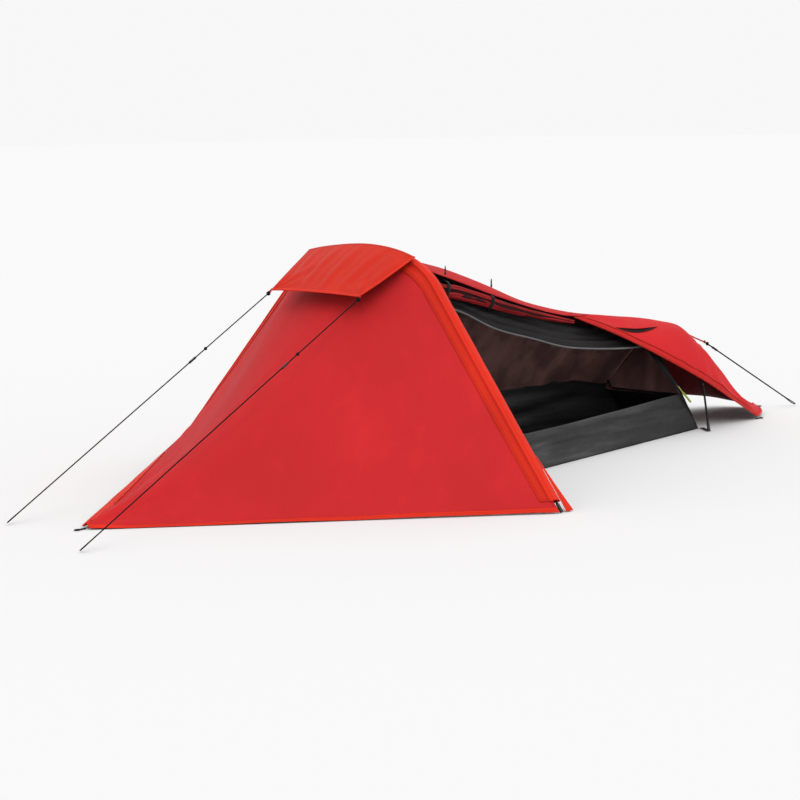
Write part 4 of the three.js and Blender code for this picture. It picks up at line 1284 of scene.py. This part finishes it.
def make_foot_inner():
    """The fabric side between the zip and the small hoop, and the net across the foot."""
    off = np.array([0.010, 0.003, 0.005])
    top, corner = (1.646, -0.016, 0.348), (1.611, -0.186, 0.146)
    ruled_panel(
        "foot_side", (ZIP_TOP + off, top, corner, ZIP_FOOT + off), "inner", ("inner_foot_side_near",),
        seed=31, slot="inner_fabric", rests_on=["tub_wall"],
    )
    low = (1.613, -0.186, 0.140), (1.608, 0.203, 0.140)
    high = (1.648, 0.034, 0.346), (1.653, -0.014, 0.348)
    ruled_panel("net_foot", (*low, *high), "net", ("inner_net_foot",), seed=33, **ON_TUB)


def zip_frame():
    """Across, out of the tent and up the zip."""
    up = unit(ZIP_TOP - ZIP_FOOT)
    out = np.array([0, -1, -0.55])
    out = unit(out - up * np.dot(out, up))
    return np.cross(out, up), out, up


def make_zip():
    """A tape with a coil of teeth down its middle, the slider, and a cord pull."""
    across, out, up = zip_frame()
    length = np.linalg.norm(ZIP_TOP - ZIP_FOOT)
    path = ZIP_FOOT + np.outer(np.linspace(0, length, 60), up)
    swept("zip_tape", path, oval_profile(0.007, 0.0014, 16, 0.4), "webbing", ("inner_zip_tape",), up=out)
    t = np.linspace(0.002, length - 0.002, 900)
    a = t * (math.tau / 0.0021)
    coil = ZIP_FOOT + np.outer(t, up) + np.outer(np.cos(a) * 0.0019, across)
    coil = coil + np.outer(0.0010 + np.sin(a) * 0.0004, out)
    swept("zip_coil", coil, round_profile(0.00035, 4), "webbing", up=out, slot="webbing")
    t = np.linspace(-1, 1, 21)
    end = blunt(t, 5, 0.03)
    centre = ZIP_FOOT + up * 0.012 + out * 0.0036
    body = centre + np.outer(t * 0.0065, up)
    shape = oval_run(0.0045 * end * (1 - 0.25 * (1 - t) / 2), 0.0020 * end, 20, 0.6)
    swept("zip_slider_body", body, shape, "plastic", ("inner_zip_slider",), up=out, body="zip_slider")
    pull_top = ZIP_FOOT + up * 0.010 + out * 0.0084
    t = np.linspace(0, 1, 40)
    line = pull_top - np.outer(t * 0.078, up) + np.outer(0.0006 * np.sin(t * 5), across)
    width = 0.0026 + 0.0019 * step(t, 0.30, 0.42) - 0.0016 * step(t, 0.94, 1.0)
    thick = 0.0012 + 0.0006 * step(t, 0.30, 0.42)
    shape = oval_run(width, thick, 16, 0.8)
    swept("zip_pull_tab", line, shape, "pull", ("inner_zip_pull",), up=out, body="zip_pull")


# ------------------------------------------------------------------ straps and loops

def tape(name, points, half, thick, finish, node=(), count=60, **more):
    """A flat tape of this half width along a smooth curve through the points."""
    swept(name, smooth_path(points, count), oval_profile(half, thick, 16, 0.35), finish, node, **more)


def peg_loop(name, node, z):
    """A loop of cord where the peg goes, on the CAD loop's place."""
    low, high = (np.array(c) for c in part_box(node))
    x0, x1 = low[0] + 0.003, high[0] - 0.003
    y = (low[1] + high[1]) / 2
    way = -1 if x0 < 0 else 1
    tip, root = (x0, x1) if way < 0 else (x1, x0)
    a = np.linspace(-2.6, 2.6, 40)
    centre = np.array([tip - way * 0.009, y, z])
    ring = centre + np.column_stack([way * 0.009 * np.cos(a), 0.008 * np.sin(a), 0 * a])
    tail = np.array([root, y, z])
    path = np.vstack([tail + [0, -0.003, 0], ring, tail + [0, 0.003, 0]])
    swept(name, smooth_path(path, 90), round_profile(0.0017, 8), "cord", (node,), slot="webbing")


def make_straps():
    tie = ridge_at(np.array([foot_hoop.at(0.0)[0] + 0.020]))[0]
    over = [tie + [-0.03, 0, 0.006], tie + [0.02, 0, 0.004], (1.88, -0.007, 0.354), (1.998, -0.014, 0.309)]
    tape("foot_tape", over, 0.009, 0.002, "red tape", ("foot_guy_tape",))
    corner = [(1.737, -0.192, 0.003), (1.715, -0.225, 0.003), (1.692, -0.259, 0.003)]
    tape("corner_strap", corner, 0.009, 0.002, "webbing", ("inner_corner_strap",))
    inner = [(1.389, 0.100, 0.405), (1.375, 0.150, 0.330), (1.330, 0.215, 0.250), (1.295, 0.252, 0.205)]
    tape("inner_strap", inner, 0.006, 0.0015, "webbing", up=(0, 1, 0.5), slot="webbing")
    for name, z in (("head", 0.003), ("tail", 0.003), ("tail_near", 0.003), ("tail_far", 0.062)):
        peg_loop("loop_" + name, "peg_loop_" + name, z)
    for key, corner in (("near", HOOD_NEAR), ("far", HOOD_FAR)):
        start = np.array(GUYS[key]["start"])
        inset = corner * [1, 0.93, 1] + [0.022, 0, 0.007]
        path = [inset, corner + [0.004, 0, 0.001], start]
        tape("guy_tab_" + key, path, 0.0055, 0.0018, "red tape", slot="trim_fabric", count=20)
    for key in ("near", "far", "foot"):
        guy = GUYS[key]
        start, ground = np.array(guy["start"]), np.array(guy["ground"])
        along = unit(ground - start)
        knot(f"tie_knot_{key}", start + along * 0.004, 0.0068)
        knot(f"end_knot_{key}", start + along * (guy["runner"] - 0.066), 0.0052)


def finish_frame_nodes():
    """The poles, ferrules and tips keep their own shapes."""
    for name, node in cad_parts.items():
        if "ferrule" in name:
            kind = "ferrule"
        elif "_tip_" in name:
            kind = "plastic"
        elif "pole" in name and "sleeve" not in name:
            kind = "pole"
        else:
            continue
        for place in node.material_slots:
            place.material = finishes[kind]


def lay_floor():
    mesh = bpy.data.meshes.new("ground")
    corners = [(x * GROUND_HALF, y * GROUND_HALF, 0) for x, y in ((-1, -1), (1, -1), (1, 1), (-1, 1))]
    mesh.from_pydata(corners, [], [(0, 1, 2, 3)])
    pale = Finish("pale ground", (GROUND_TONE,) * 3, 0.9, Specular_IOR_Level=0.0)
    mesh.materials.append(pale.material)
    placed("ground", mesh)


# ------------------------------------------------------------------ making

aim_camera()
light_studio()
finishes = make_finishes()
make_guys()
make_head()
make_vent_net()
make_hood()
make_sleeve()
make_sleeve_patch()
make_canopy()
make_foot()
make_tail_far()
make_roll()
make_tie("head", 0.2)
make_tie("foot", 0.48)
make_tub()
make_floor()
make_far_net()
make_head_net()
make_header()
make_foot_inner()
make_zip()
make_straps()
finish_frame_nodes()
lay_floor()
